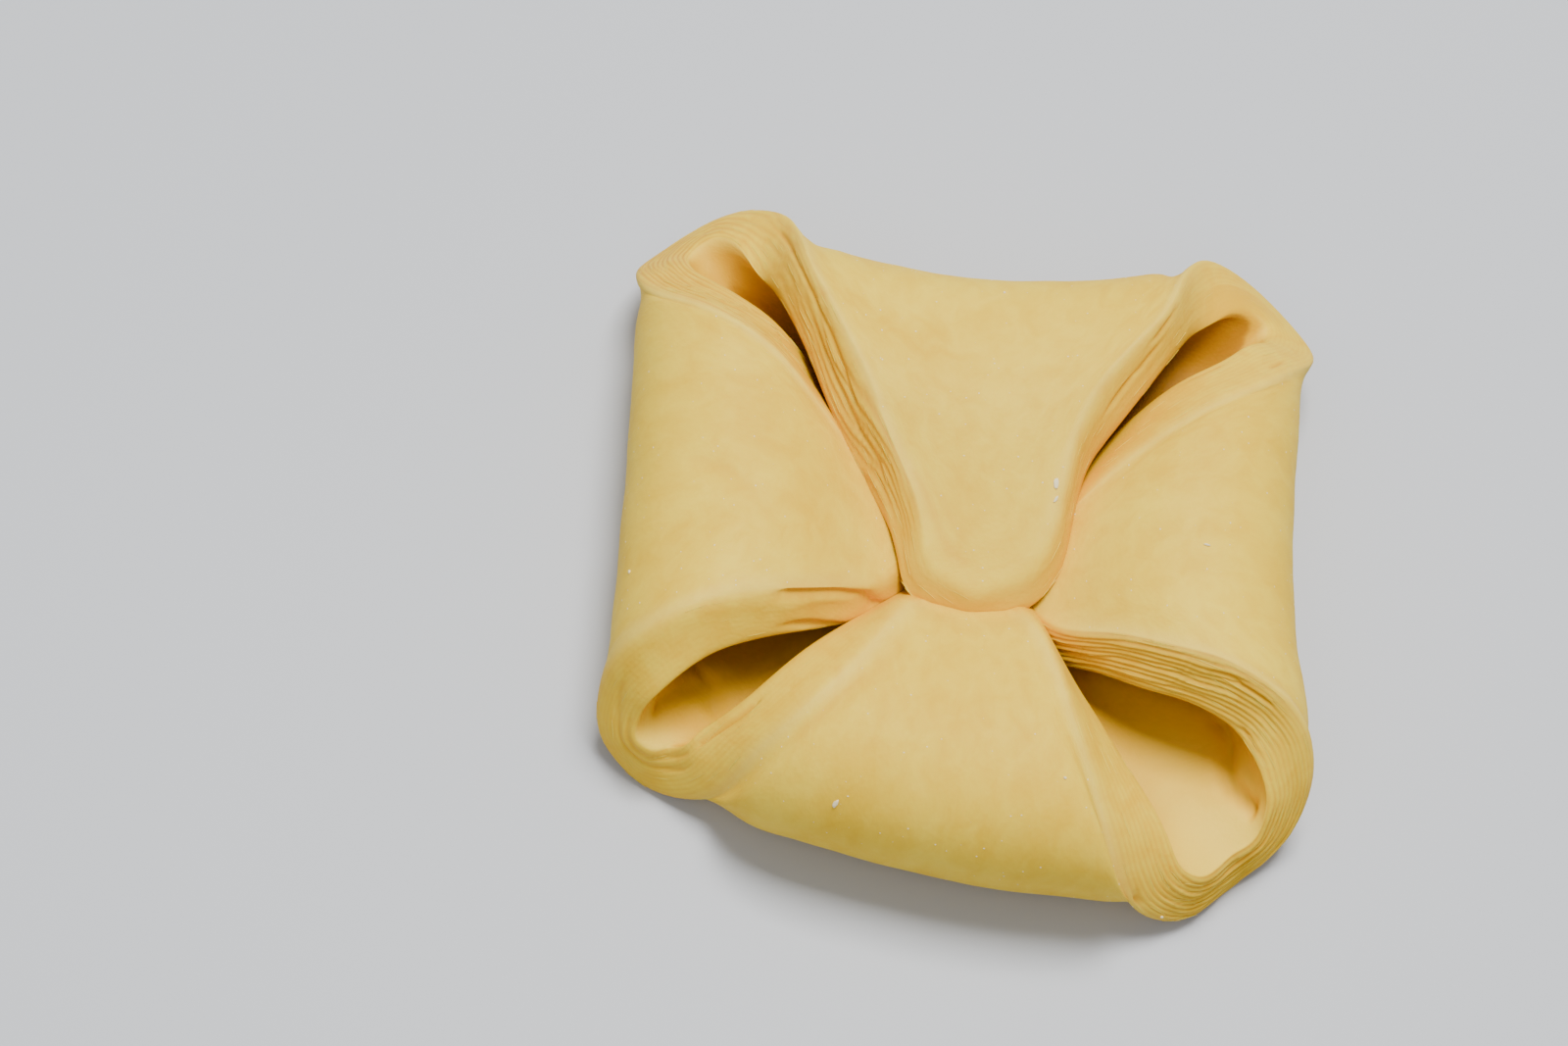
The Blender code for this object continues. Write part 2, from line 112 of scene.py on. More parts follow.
# Cut edges of the flaps, from a corner of the base to the tip of the flap. Each row is the
# place along the diagonal, the place beside it, the height, and the tilt of the cut in degrees
CUT_EDGES = {
    ("right", "front_right"): [
        (56.5, 0.0, 4.0, -90), (56.6, 5.8, 5.7, -48), (54.2, 9.6, 11.3, -16), (49.4, 10.8, 17.0, 20),
        (43.8, 9.8, 20.6, 52), (37.9, 7.2, 22.0, 60), (32.1, 3.9, 21.0, 66), (25.9, 1.3, 18.3, 77),
        (20.0, -1.2, 14.2, 88), (8.1, -3.2, 10.1, 90)],
    ("front", "front_right"): [
        (56.5, 0.0, 4.0, -90), (56.5, 5.9, 4.9, -68), (53.8, 9.5, 7.7, -38), (50.2, 10.1, 11.8, -9),
        (45.6, 9.9, 15.8, 19), (37.7, 8.8, 18.7, 50), (32.2, 7.6, 19.5, 63), (26.0, 5.8, 19.0, 80),
        (20.5, 4.0, 17.8, 88), (13.3, 2.2, 16.1, 90), (3.5, 2.1, 13.4, 90)],
    ("left", "front_left"): [
        (52.0, 0.0, 4.0, -90), (53.1, 4.7, 5.9, -52), (51.1, 6.6, 10.8, -20), (48.9, 6.5, 16.2, 6),
        (45.4, 5.8, 20.2, 34), (40.4, 5.0, 22.3, 52), (32.0, 2.5, 21.6, 66), (24.2, -0.4, 19.4, 76),
        (17.8, -1.8, 16.4, 88), (8.5, -2.1, 13.2, 90)],
    ("front", "front_left"): [
        (52.0, 0.0, 4.0, -90), (50.1, 2.0, 5.1, -54), (47.3, 4.1, 9.1, -30), (43.5, 4.8, 13.4, 18),
        (38.5, 6.3, 17.9, 40), (34.4, 6.7, 20.0, 46), (29.2, 6.6, 20.5, 51), (23.2, 6.1, 19.5, 62),
        (15.8, 4.7, 16.4, 80), (2.1, 3.5, 13.4, 90)],
    ("back", "back_right"): [
        (59.4, 0.0, 8.2, -90), (58.6, 4.4, 9.2, -62), (55.0, 7.4, 12.0, -32), (47.2, 6.4, 16.1, 26),
        (36.7, 2.4, 21.3, 65), (28.4, 0.5, 22.1, 68), (21.9, -1.0, 21.6, 72), (16.2, -3.0, 20.7, 84),
        (11.7, -6.1, 20.1, 90), (4.4, -11.6, 19.2, 90), (-2.5, -13.7, 18.9, 90),
        (-9.7, -12.1, 18.9, 90)],
    ("right", "back_right"): [
        (59.4, 0.0, 8.2, -90), (58.5, 3.2, 9.0, -50), (54.2, 4.6, 12.8, -18), (47.2, 5.2, 17.6, 12),
        (40.1, 6.5, 20.4, 42), (33.8, 6.2, 21.0, 55), (28.2, 6.0, 20.2, 64), (21.8, 5.9, 18.4, 72),
        (16.1, 5.7, 16.2, 76), (7.0, 6.5, 12.7, 84), (-3.2, 8.1, 10.1, 90)],
    ("back", "back_left"): [
        (58.6, 0.0, 8.0, -90), (58.1, 4.7, 8.9, -60), (53.2, 6.4, 12.1, -28), (46.2, 4.8, 15.8, 26),
        (38.8, 1.6, 20.6, 58), (29.5, -1.2, 22.6, 69), (19.8, -3.8, 22.1, 71), (11.7, -5.6, 21.1, 76),
        (1.3, -8.3, 20.0, 82), (-4.2, -11.6, 19.3, 90), (-12.1, -9.7, 18.9, 90)],
    ("left", "back_left"): [
        (58.6, 0.0, 8.0, -90), (58.0, 4.4, 8.8, -52), (55.0, 6.9, 13.0, -26), (48.0, 7.8, 17.4, 12),
        (40.3, 7.0, 20.5, 44), (34.0, 5.9, 21.0, 58), (30.0, 5.2, 19.5, 66), (24.2, 4.8, 16.6, 76),
        (17.0, 5.0, 15.0, 84), (8.0, 5.6, 14.4, 90), (-2.1, 8.5, 13.2, 90)],
}

# How much further the inner skin reaches out than the outer one on each cut edge
CUT_SLANTS = {
    ("right", "front_right"): 1.5, ("front", "front_right"): 3.0, ("left", "front_left"): 1.0,
    ("front", "front_left"): 3.5, ("back", "back_right"): 2.0, ("right", "back_right"): 4.4,
    ("back", "back_left"): 2.0, ("left", "back_left"): 3.0,
}
# The same at the corners, where the inner skin stands back
CORNER_SLANTS = {"front_right": -1.6, "back_right": -5.6, "back_left": -4.8, "front_left": -1.6}
TIP_SLANT = 0.6             # the same at the tips
# Shares of a cut edge over which those are felt
CORNER_FADES = {"front_right": 0.4, "back_right": 0.33, "back_left": 0.33, "front_left": 0.4}
TIP_FADE = 0.3

# Which way each flap and corner lie on the sheet, whose axes run along the diagonals:
# the first from back left to front right, the second from front left to back right
CORNER_AXES = {"front_right": (1, 0), "back_right": (0, 1), "back_left": (-1, 0), "front_left": (0, -1)}
FLAP_SIGNS = {"front": (1, -1), "right": (1, 1), "back": (-1, 1), "left": (-1, -1)}
# The four sides of the sheet, each named for the corner in its middle
SIDES = ("front_right", "back_left", "back_right", "front_left")

# ---- the fine finish of the dough, in millimetres ----
FINE_CELLS = 168            # mesh cells across the sheet
FINE_LAYERS = 44            # mesh rows over the height of a cut edge
EDGE_CROWDING = 0.62        # how much closer the mesh lines lie beside a cut edge
ROLLED_LAYERS = 11          # layers of dough and butter seen on a cut edge
MERGED_LAYERS = 4.5         # so many fewer show on the back flap's left rim, pressed together
LAYER_GROOVE = 0.42         # depth of the grooves between layers
GROOVE_WIDTH = 1.2          # the higher, the wider the grooves
LAYER_STEP = 0.3            # how far single layers stand out or back
LONG_STEP = 8.0             # length along an edge over which it does so
SHORT_STEP = 2.6            # the same for the smaller steps on these
LAYER_WANDER = 0.75         # how far a layer strays up and down, in layers
LONG_WANDER = 11.0          # length of the slow strays along an edge
SHORT_WANDER = 3.2          # length of the quick ones
SHORT_SHARE = 0.5           # strength of the short steps and strays beside that of the long ones
PATCH_LENGTH = 17.0         # length over which the layers show more or less
PATCH_MEAN = 0.75           # how much they show on average
PATCH_SWING = 0.5           # and how much more or less in patches
LIP_WIDTH = 1.9             # width of the pale lip along the outer skin
CORNER_BLEND = 14.0         # stretch around a corner over which its two cut edges blend
ON_EDGE = 0.9999            # sheet places beyond this lie on a cut face
ON_SKIN = 0.4999            # sheet depths beyond this lie on a skin

# Noise: its table, what keeps the sides, layers and skins apart in it, and the seed of each use
NOISE_TABLE = 48
SIDE_APART = 90.0
LAYER_APART = 29.0
SKIN_APART = 40.0
CRUMB_APART = 5.0
NOISE_SEEDS = {"long wander": 3, "short wander": 5, "long step": 7, "short step": 11,
               "patches": 13, "skin": 20}

# How strongly the layers show along each cut edge, at these shares of the way to the tip
STRENGTH_SHARES = (0.0, 0.35, 0.7, 1.0)
LAYER_STRENGTH = {
    ("right", "front_right"): (1.0, 1.0, 1.0, 0.4), ("front", "front_right"): (1.0, 0.3, 0.05, 0.0),
    ("left", "front_left"): (0.4, 0.1, 0.1, 0.0), ("front", "front_left"): (0.4, 0.1, 0.05, 0.0),
    ("back", "back_right"): (0.25, 0.3, 0.4, 0.0), ("right", "back_right"): (0.25, 0.25, 0.2, 0.0),
    ("back", "back_left"): (0.6, 0.5, 1.0, 0.2), ("left", "back_left"): (1.0, 1.0, 0.4, 0.0),
}

# The tips lie pressed onto the flaps under them: their cut edge turns into a ramp that sinks in
TIP_RAMP = 2.6
TIP_RAMP_REACH = 17.0
TIP_SINK = 0.9
BACK_TIP_SINK = 2.4         # the same at the back flap, whose tip has merged with the others
TIP_PULL = 0.9              # how far the sheet's sharp corner is drawn back into a round one
BACK_TIP_PULL = 2.0         # the same at the back flap, whose tip is blunt
TIP_PULL_REACH = 6.5
TIP_MERGE = 12.0            # nearer to a tip than this the cut edge looks like the skin
BACK_TIP_LOWER = 1.0        # how far the back flap's tip is worn down to the front flap

# The creases behind the rims are eased, at these gaps to the cut edge
EASED_FROM = 0.5
EASED_TO = 16.0
EASE_SETS_IN = 3.0          # stretch over which the easing sets in behind the rim
EASE_FADES = 9.0            # stretch over which it fades further in
EASE_SHARE = 0.5            # how far a place moves towards its neighbours in one round
EASE_ROUNDS = 30
LIP_EASE = 0.8              # how strongly the lips of rims without layers are rounded off
CORNER_EASE_REACH = 9.0     # how far around the two back corners all of the dough is eased
TIP_EASE_REACH = 9.0        # the same around the back flap's tip
TIP_EASE_DEPTH = -0.4       # sheet depths over this are eased there

# Small cuts, splits and pits of the cut edges. Each row has its points, as distances from the
# corner along the edge, below zero beyond that corner, and heights in the sheet; then its width,
# its depth, and how strong the painted golden shade in it is
CUT_MARKS = {
    ("front", "front_left"): (
        (((11.7, -2.4), (16.9, -1.8), (21.4, -1.7)), 0.35, 1.0, 0.9),),
    ("left", "front_left"): (
        (((40.5, 3.2), (47.0, 3.1), (51.0, 2.0), (52.6, -1.4)), 1.0, 1.4, 0.9),
        (((40.9, -1.9), (45.4, -3.1)), 0.5, 1.2, 1.0),
        (((44.0, 0.7), (51.0, 0.7)), 2.2, 0.5, 0.35),
        (((14.8, 0.9), (7.8, -1.0), (0.0, -1.2), (-6.0, -0.4)), 0.4, 0.4, 0.45),
        (((10.0, -2.6), (2.0, -2.8), (-8.0, -2.4)), 0.4, 0.35, 0.4)),
    ("right", "front_right"): (
        (((31.2, 2.0), (28.2, 2.4)), 0.22, 0.5, 1.0),
        (((27.8, 2.1), (24.0, 2.2)), 0.22, 0.5, 1.0),
        (((23.9, -2.8), (23.4, -2.8)), 0.3, 0.8, 1.0)),
    ("front", "front_right"): (
        (((12.6, 3.1), (13.0, 3.3)), 0.45, 1.0, 1.0),),
    ("back", "back_right"): (
        (((46.3, 0.9), (46.0, 0.9)), 0.5, 0.4, 0.9),
        (((22.9, 2.7), (26.2, 2.3)), 0.25, 0.7, 0.9),
        (((26.6, 1.0), (29.5, 0.6)), 0.22, 0.6, 0.9),
        (((31.1, 0.8), (34.3, 0.6)), 0.3, 0.7, 0.9)),
    ("right", "back_right"): (
        (((26.8, -2.8), (22.8, -2.7)), 0.25, 0.6, 0.8),
        (((18.0, 2.2), (15.0, 2.0)), 0.25, 0.6, 0.8)),
    ("back", "back_left"): (
        (((13.7, 1.6), (23.2, 2.1), (29.8, 1.9), (36.9, 1.3)), 0.3, 0.5, 0.7),
        (((28.7, -0.2), (38.2, -0.5), (44.0, 0.6)), 0.28, 0.5, 0.6)),
    ("left", "back_left"): (
        (((26.1, -1.5), (26.5, -1.5)), 0.4, 0.9, 1.0),),
}
# Creases of the outer and the inner skin: places along the sheet's two axes, then the same
OUTER_MARKS = (
    (((-60.2, 46.5), (-59.4, 51.2), (-58.8, 57.0)), 0.8, 0.07, 0.3),
    (((-57.8, 47.0), (-57.0, 54.0)), 0.8, 0.05, 0.2),
    (((34.3, -58.3), (29.2, -58.0), (23.7, -57.5)), 1.6, 0.35, 0.3),
    (((42.1, -58.5), (36.0, -57.0)), 1.8, 0.3, 0.2),
    (((-35.6, -41.2), (-36.6, -44.0), (-37.5, -47.6), (-38.1, -50.6)), 1.5, 0.25, 0.15),
    (((-44.8, 55.5), (-44.2, 55.0)), 1.4, 0.3, 0.1),
)
INNER_MARKS = (
    (((-3.0, -46.1), (-4.8, -49.4), (-6.6, -54.0)), 1.3, 0.9, 0.4),
    (((-3.2, -44.1), (-1.8, -45.0), (-0.2, -47.0)), 1.2, 0.8, 0.4),
    (((39.9, 8.8), (46.2, 6.3), (50.6, 5.7), (57.0, 8.0)), 1.2, 1.3, 0.55),
)

# Painted amber shade in the depths of the narrow mouths: places on the inner skin, reach and strength
PAINTED_MOUTH_SHADES = (
    (((-8.0, 58.0), (-1.7, 41.0), (3.0, 28.0)), 8.0, 0.7),
    (((-58.0, 1.5), (-46.5, 4.5), (-34.0, 5.0)), 7.5, 0.25),
    (((-5.0, -50.0), (-2.0, -38.0)), 7.0, 0.15),
)

# Painted amber shade of all folds: the more the dough around a place hides the sky, the deeper the
# painted shade
SKY_RAYS = 44               # rays that find how much it hides
RAY_REACH = 60.0            # what lies further off than this hides nothing
RAY_LIFT = 0.2              # how far over the dough a ray starts
FLATTEST_RAY = 0.05         # rays that rise less than this from the skin aren't counted
SHADE_SHARE = 0.5           # how far a place takes on its neighbours' shade in one round
SHADE_ROUNDS = 3
OUTER_PAINTED_SHADE = 0.55          # share of the painted fold shade that the outer skin takes on

# Pale crumbs: place on the sheet, length, width, height and turn in degrees
CRUMBS = (
    ((25.2, -46.6, 4.0), 1.3, 0.5, 0.3, 20.0), ((61.5, -9.3, 3.1), 0.45, 0.35, 0.3, 0.0),
    ((43.7, 37.5, 4.0), 0.9, 0.3, 0.3, 30.0), ((-20.0, -48.0, 4.0), 0.5, 0.35, 0.3, 70.0),
    ((-30.5, 33.0, 4.0), 0.45, 0.3, 0.25, 10.0), ((52.0, -30.0, 4.0), 0.5, 0.3, 0.25, 50.0),
    ((-45.4, 60.0, 4.0), 1.6, 0.6, 0.3, 8.0), ((-46.4, 60.6, 4.0), 0.9, 0.4, 0.3, -15.0),
)
CRUMB_BUMPS = 0.3           # size of a crumb's bumps, as a share of the crumb
CRUMB_UNEVENNESS = 0.3      # and how far they stand out
CRUMB_LIFT = 0.25           # how far it stands clear of the dough, as a share of its height

# Flour specks on the outer skin and thin shreds of pulled layers on the cut faces
SPECK_DENSITY = 60000.0     # specks per square metre
SPECK_SIZES = (0.08, 0.3)
SPECK_SHAPE = (1.0, 0.8, 0.4)
SPECK_SEED = 4
SHRED_DENSITY = 300000.0    # shreds per square metre of fully layered cut face
SHRED_SIZES = (0.25, 0.7)
SHRED_SHAPE = (6.0, 0.22, 0.16)
SHRED_SEED = 9
RIM_MARGIN = 0.5            # how far from the cut edges the specks stay

# Broad and small unevenness of the skin: size of the bumps, and their height
SKIN_WAVES = ((16.0, 0.34), (6.0, 0.13), (2.2, 0.035))

# ---- finishes: linear colours ----
SKIN_PALE = (0.92, 0.65, 0.050)
SKIN_DEEP = (0.80, 0.48, 0.010)
# Inner skin: paler partly as its own colour and partly as painted light, for light bounced between the
# flaps
INNER_SKIN = (0.98, 0.67, 0.070)
CUT_PALE = (0.92, 0.63, 0.035)
CUT_DEEP = (0.86, 0.52, 0.014)
CUT_GROOVE = (0.68, 0.29, 0.007)
LIP_PALE = (0.92, 0.72, 0.20)
# Painted golden shade in the small cuts and creases
PAINTED_CREASE_GOLD = (0.72, 0.34, 0.004)
# Painted shade of the folds: amber, and red-brown where they are deepest
PAINTED_SHADE_AMBER = (0.80, 0.43, 0.006)
PAINTED_SHADE_BROWN = (0.44, 0.18, 0.001)
FLOUR_PALE = (0.90, 0.80, 0.52)
FLOUR_DEEP = (0.82, 0.70, 0.38)
TABLE_PALE = (0.51, 0.53, 0.57)
TABLE_DEEP = (0.49, 0.515, 0.555)

# Patches and grains per metre, and the shares in which the colours of the dough are mixed
BROAD_PATCHES = 55.0
SMALL_PATCHES = 310.0
SMALL_PATCH_SHARE = 0.45    # share of the small patches beside the broad ones
DOUGH_GRAINS = 1500.0
FLOUR_GRAINS = 3000.0
SHRED_GRAINS = 900.0
INNER_SKIN_SHARE = 0.8      # share of the inner skin's colour on it, partly its own and partly painted light
LIP_CUT_SHARE = 0.4         # share of the cut face's colour on its very lips
LIP_SHARE = 0.25            # share of the pale lips' own colour on them
PAINTED_AMBER_RANGE = (0.2, 0.75)  # painted fold shade, from where its amber shows to where it is full
# the same for the painted red-brown shade of the deepest folds
PAINTED_BROWN_RANGE = (0.78, 1.05)

# ---- light, table and camera, in metres and degrees ----
TABLE_SIZE = 4.0
SKY_COLOUR = (0.95, 0.98, 1.0)
SKY_STRENGTH = 0.38
KEY_PLACE = (0.08, 0.32, 1.17)
KEY_SIZE = 0.5
KEY_POWER = 23.0
KEY_COLOUR = (1.0, 0.98, 0.95)
FILL_PLACE = (-0.25, -0.7, 0.95)
FILL_SIZE = 0.9
FILL_POWER = 3.2
FILL_COLOUR = (0.95, 0.98, 1.0)

# The photo's camera: its angles to the pastry as it lies, and where the photo has the aim
PHOTO_SIZE = (1600, 1067)
VIEW_AZIMUTH = -9.0
VIEW_ELEVATION = 62.8
VIEW_ROLL = 16.0
VIEW_DISTANCE = 0.62
FOCAL_PIXELS = 4950.0
SENSOR_WIDTH = 36.0
AIM_PIXEL = (981.0, 540.0)
AIM_HEIGHT = 12.0           # in millimetres over the middle of the folds


# ---- the folded sheet ----

def direction(angle_deg):
    """Unit vector across the table at an angle from +X."""
    angle = np.radians(angle_deg)
    return np.array([np.cos(angle), np.sin(angle), 0.0])


def flap_outward(flap):
    return direction(FOLDS[flap]["angle"])


def smooth_line(rows, share):
    """Values along a smooth curve through rows of numbers, by share of its length."""
    rows = np.array(rows, dtype=float)
    steps = np.linalg.norm(np.diff(rows[:, :3], axis=0), axis=1)
    place = np.concatenate([[0.0], np.cumsum(steps)])
    place = place / place[-1]
    slope = np.gradient(rows, place, axis=0)
    index = np.clip(np.searchsorted(place, share, side="right") - 1, 0, len(rows) - 2)
    width = (place[index + 1] - place[index])[:, None]
    part = ((share - place[index]) / width[:, 0])[:, None]
    start, end = rows[index], rows[index + 1]
    leave, arrive = slope[index] * width, slope[index + 1] * width
    square, cube = part ** 2, part ** 3
    curve = start * (2 * cube - 3 * square + 1) + end * (3 * square - 2 * cube)
    return curve + leave * (cube - 2 * square + part) + arrive * (cube - square)


def edge_places(flap, corner, share):
    """Middle of the cut edge and its outward tilt, at shares of the way from corner to tip."""
    rows = smooth_line(CUT_EDGES[(flap, corner)], np.asarray(share, dtype=float))
    along = direction(CORNER_ANGLE[corner])
    own = flap_outward(flap)
    beside = own - along * (own @ along)
    beside = beside / np.linalg.norm(beside)
    upward = np.array([0.0, 0.0, 1.0])
    place = rows[:, :1] * along + rows[:, 1:2] * beside + rows[:, 2:3] * upward
    tilt = np.radians(rows[:, 3:4])
    return place, np.cos(tilt) * beside + np.sin(tilt) * upward


def edge_slants(flap, corner, share):
    """How much further the inner skin reaches out, at shares of the way from corner to tip."""
    own = CUT_SLANTS[(flap, corner)]
    at_corner = np.exp(-(share / CORNER_FADES[corner]) ** 2)
    at_tip = np.exp(-((1.0 - share) / TIP_FADE) ** 2)
    return own + (CORNER_SLANTS[corner] - own) * at_corner + (TIP_SLANT - own) * at_tip


def base_place(first, second):
    """Place of a sheet point while it still lies flat."""
    reach = {name: CORNER_REACH[name] * direction(CORNER_ANGLE[name]) for name in CORNER_REACH}
    ahead, behind = np.maximum(first, 0)[..., None], np.maximum(-first, 0)[..., None]
    right, left = np.maximum(second, 0)[..., None], np.maximum(-second, 0)[..., None]
    place = ahead * reach["front_right"] + behind * reach["back_left"]
    place = place + right * reach["back_right"] + left * reach["front_left"]
    place[..., 2] += DOUGH_THICKNESS / 2
    return place


def sheet_spot(flap, along, across):
    """Sheet place in a flap: along from middle to tip (0 to 2), across between its corners."""
    signs = FLAP_SIGNS[flap]
    return signs[0] * (along + across) / 2, signs[1] * (along - across) / 2


def fold_guides(flap):
    """Sheet places and space places that shape the round fold between two corners."""
    fold = FOLDS[flap]
    outward = flap_outward(flap)
    sideways = np.array([-outward[1], outward[0], 0.0])
    guides = []
    for across in np.linspace(-GUIDED_SPAN, GUIDED_SPAN, GUIDES_ACROSS):
        line = 1.0 + (fold["line"] - 1.0) * (1.0 - across ** 2)
        out = fold["out"] + fold["slant"] * across + fold["bow"] * across ** 2
        chord = base_place(*(np.array(spot) for spot in sheet_spot(flap, 1.0, across)))
        for turn in np.linspace(0.0, np.pi, GUIDES_AROUND):
            along = line + (turn - np.pi / 2) * fold["radius"] / SHEET_REACH
            distance = out - fold["radius"] * (1 - np.sin(turn))
            height = DOUGH_THICKNESS / 2 + fold["rise"] / 2 * (1 - np.cos(turn))
            place = outward * distance + sideways * (chord @ sideways) + np.array([0, 0, height])
            first, second = sheet_spot(flap, along, across)
            if max(abs(first), abs(second)) < GUIDED_SHEET:
                guides.append((first, second, place))
    return guides


def lies_flat(first, second):
    """Whether sheet points belong to the base, inside the folds or along its diagonals."""
    along = np.abs(first) + np.abs(second)
    beside = np.minimum(np.abs(first), np.abs(second))
    flat = (beside < FLAT_DIAGONAL_WIDTH) & (along < FLAT_DIAGONAL_REACH)
    for flap, signs in FLAP_SIGNS.items():
        inside = (first * signs[0] >= 0) & (second * signs[1] >= 0)
        flat |= inside & (along < FOLDS[flap]["line"] - FOLD_START)
    return flat


def spline_weights(place, cells):
    """Cubic weights of the guide points around a place between -1 and 1."""
    scaled = np.clip((place + 1.0) / 2.0 * cells, 0.0, cells - 1e-9)
    index = scaled.astype(int)
    part = scaled - index
    weights = np.stack([(1 - part) ** 3, 3 * part ** 3 - 6 * part ** 2 + 4,
                        -3 * part ** 3 + 3 * part ** 2 + 3 * part + 1, part ** 3], -1) / 6.0
    slopes = np.stack([-(1 - part) ** 2, 3 * part ** 2 - 4 * part,
                       -3 * part ** 2 + 2 * part + 1, part ** 2], -1) / 2.0 * cells / 2.0
    return index, weights, slopes


def sheet_rows(first, second, cells):
    """Weight rows that give sheet places from the guide grid, which has one ring outside."""
    index_a, weight_a, slope_a = spline_weights(first, cells)
    index_b, weight_b, slope_b = spline_weights(second, cells)
    columns = ((index_a[:, None] + np.arange(4))[:, :, None] * (cells + 3)
               + (index_b[:, None] + np.arange(4))[:, None, :]).reshape(len(first), 16)
    values = (weight_a[:, :, None] * weight_b[:, None, :]).reshape(len(first), 16)
    along_a = (slope_a[:, :, None] * weight_b[:, None, :]).reshape(len(first), 16)
    along_b = (weight_a[:, :, None] * slope_b[:, None, :]).reshape(len(first), 16)
    return columns, values, along_a, along_b


def add_wishes(matrix, goal, columns, values, places, weight):
    """Add weighted wishes that the sheet passes through given places."""
    for row_columns, row_values, place in zip(columns, values, places):
        matrix[np.ix_(row_columns, row_columns)] += weight * np.outer(row_values, row_values)
        goal[row_columns] += weight * np.outer(row_values, place)


def add_smoothness(matrix, cells, weight):
    """Add the wish that neighbouring guide points bend as little as they can."""
    size = cells + 3
    numbers = np.arange(size * size).reshape(size, size)
    for run in (numbers, numbers.T):
        for left, middle, right in zip(run[:-2].ravel(), run[1:-1].ravel(), run[2:].ravel()):
            spot = np.array([left, middle, right])
            matrix[np.ix_(spot, spot)] += weight * BEND
    for corner in zip(numbers[:-1, :-1].ravel(), numbers[1:, :-1].ravel(),
                      numbers[:-1, 1:].ravel(), numbers[1:, 1:].ravel()):
        spot = np.array(corner)
        matrix[np.ix_(spot, spot)] += 2 * weight * TWIST


def corner_share_point(flap, corner, share):
    """Sheet place on a cut edge, by share of the way from the corner to the flap's tip."""
    axis = CORNER_AXES[corner]
    signs = FLAP_SIGNS[flap]
    if axis[0]:
        return np.full_like(share, float(signs[0])), signs[1] * share
    return signs[0] * share, np.full_like(share, float(signs[1]))


def solve_sheet(cells):
    """Guide grid of the smoothest folded sheet that meets the cut edges, folds and base."""
    size = (cells + 3) ** 2
    matrix = np.zeros((size, size))
    goal = np.zeros((size, 3))
    add_smoothness(matrix, cells, STIFFNESS)
    share = np.linspace(0.0, 1.0, cells + 1)
    for flap, corner in CUT_EDGES:
        places, _ = edge_places(flap, corner, share)
        first, second = corner_share_point(flap, corner, share)
        columns, values, _, _ = sheet_rows(first, second, cells)
        add_wishes(matrix, goal, columns, values, places, EDGE_HOLD)
    line = np.linspace(-1.0, 1.0, cells + 1)
    first, second = (grid.ravel() for grid in np.meshgrid(line, line, indexing="ij"))
    flat = lies_flat(first, second)
    columns, values, _, _ = sheet_rows(first[flat], second[flat], cells)
    add_wishes(matrix, goal, columns, values, base_place(first[flat], second[flat]), BASE_HOLD)
    for flap in FOLDS:
        guides = fold_guides(flap)
        first = np.array([guide[0] for guide in guides])
        second = np.array([guide[1] for guide in guides])
        columns, values, _, _ = sheet_rows(first, second, cells)
        add_wishes(matrix, goal, columns, values, [guide[2] for guide in guides], FOLD_HOLD)
    return np.linalg.solve(matrix, goal)


def cut_tilts(first, second):
    """Outward tilt and slant of the nearest cut edges and how strongly they are felt."""
    tilts = np.zeros((len(first), 3))
    slants = np.zeros(len(first))
    felt = np.zeros(len(first))
    for flap, corner in CUT_EDGES:
        signs, axis = FLAP_SIGNS[flap], CORNER_AXES[corner]
        inside = (first * signs[0] >= 0) & (second * signs[1] >= 0)
        near, share = (first, second) if axis[0] else (second, first)
        share = np.clip(np.abs(share), 0.0, 1.0)
        _, outward = edge_places(flap, corner, share)
        gap = (1.0 - np.abs(near)) * HALF_EDGE / RIM_REACH
        weight = np.where(inside, np.exp(-gap ** 2), 0.0)
        tilts += weight[:, None] * outward
        slants += weight * edge_slants(flap, corner, share)
        felt += weight
    nonzero = np.maximum(felt, 1e-6)
    return tilts / nonzero[:, None], slants / nonzero, felt


def soft_step(value):
    """Smooth step from 0 to 1 as the value goes from 0 to 1."""
    value = np.clip(value, 0.0, 1.0)
    return value * value * (3 - 2 * value)


def tip_print(place):
    """How deep the tip of the back flap presses what lies under it."""
    across = (place[:, 0] - TIP_PRINT_PLACE[0]) / TIP_PRINT_SIZE[0]
    along = (place[:, 1] - TIP_PRINT_PLACE[1]) / TIP_PRINT_SIZE[1]
    return TIP_PRINT * soft_step(1.0 + (1.0 - np.hypot(across, along)) / TIP_PRINT_EDGE)


def front_share(first, second):
    """One in the upper half of the front flap and zero elsewhere."""
    signs = FLAP_SIGNS["front"]
    inside = (first * signs[0] > 0) & (second * signs[1] > 0)
    beyond_fold = np.abs(first) + np.abs(second) - 1.0
    return np.where(inside, soft_step(beyond_fold / TIP_PRINT_FADE), 0.0)


# ---- the fine surface ----

def soft_noise(spots, size, seed):
    """Smooth noise between -1 and 1 at places in space, with bumps of one size."""
    table = np.random.default_rng(seed).uniform(-1.0, 1.0, (NOISE_TABLE,) * 3)
    scaled = np.asarray(spots, dtype=float) / size
    base = np.floor(scaled).astype(int)
    part = scaled - base
    part = part * part * (3 - 2 * part)
    total = np.zeros(len(scaled))
    for corner in np.ndindex(2, 2, 2):
        index = (base + np.array(corner)) % NOISE_TABLE
        weight = np.prod(np.where(np.array(corner), part, 1 - part), axis=1)
        total += weight * table[index[:, 0], index[:, 1], index[:, 2]]
    return total


def edge_side(first, second):
    """Number of the sheet's side that a point is nearest to, in the order of SIDES."""
    beside_first = np.abs(first) >= np.abs(second)
    return np.where(beside_first, np.where(first > 0, 0, 1), np.where(second > 0, 2, 3))


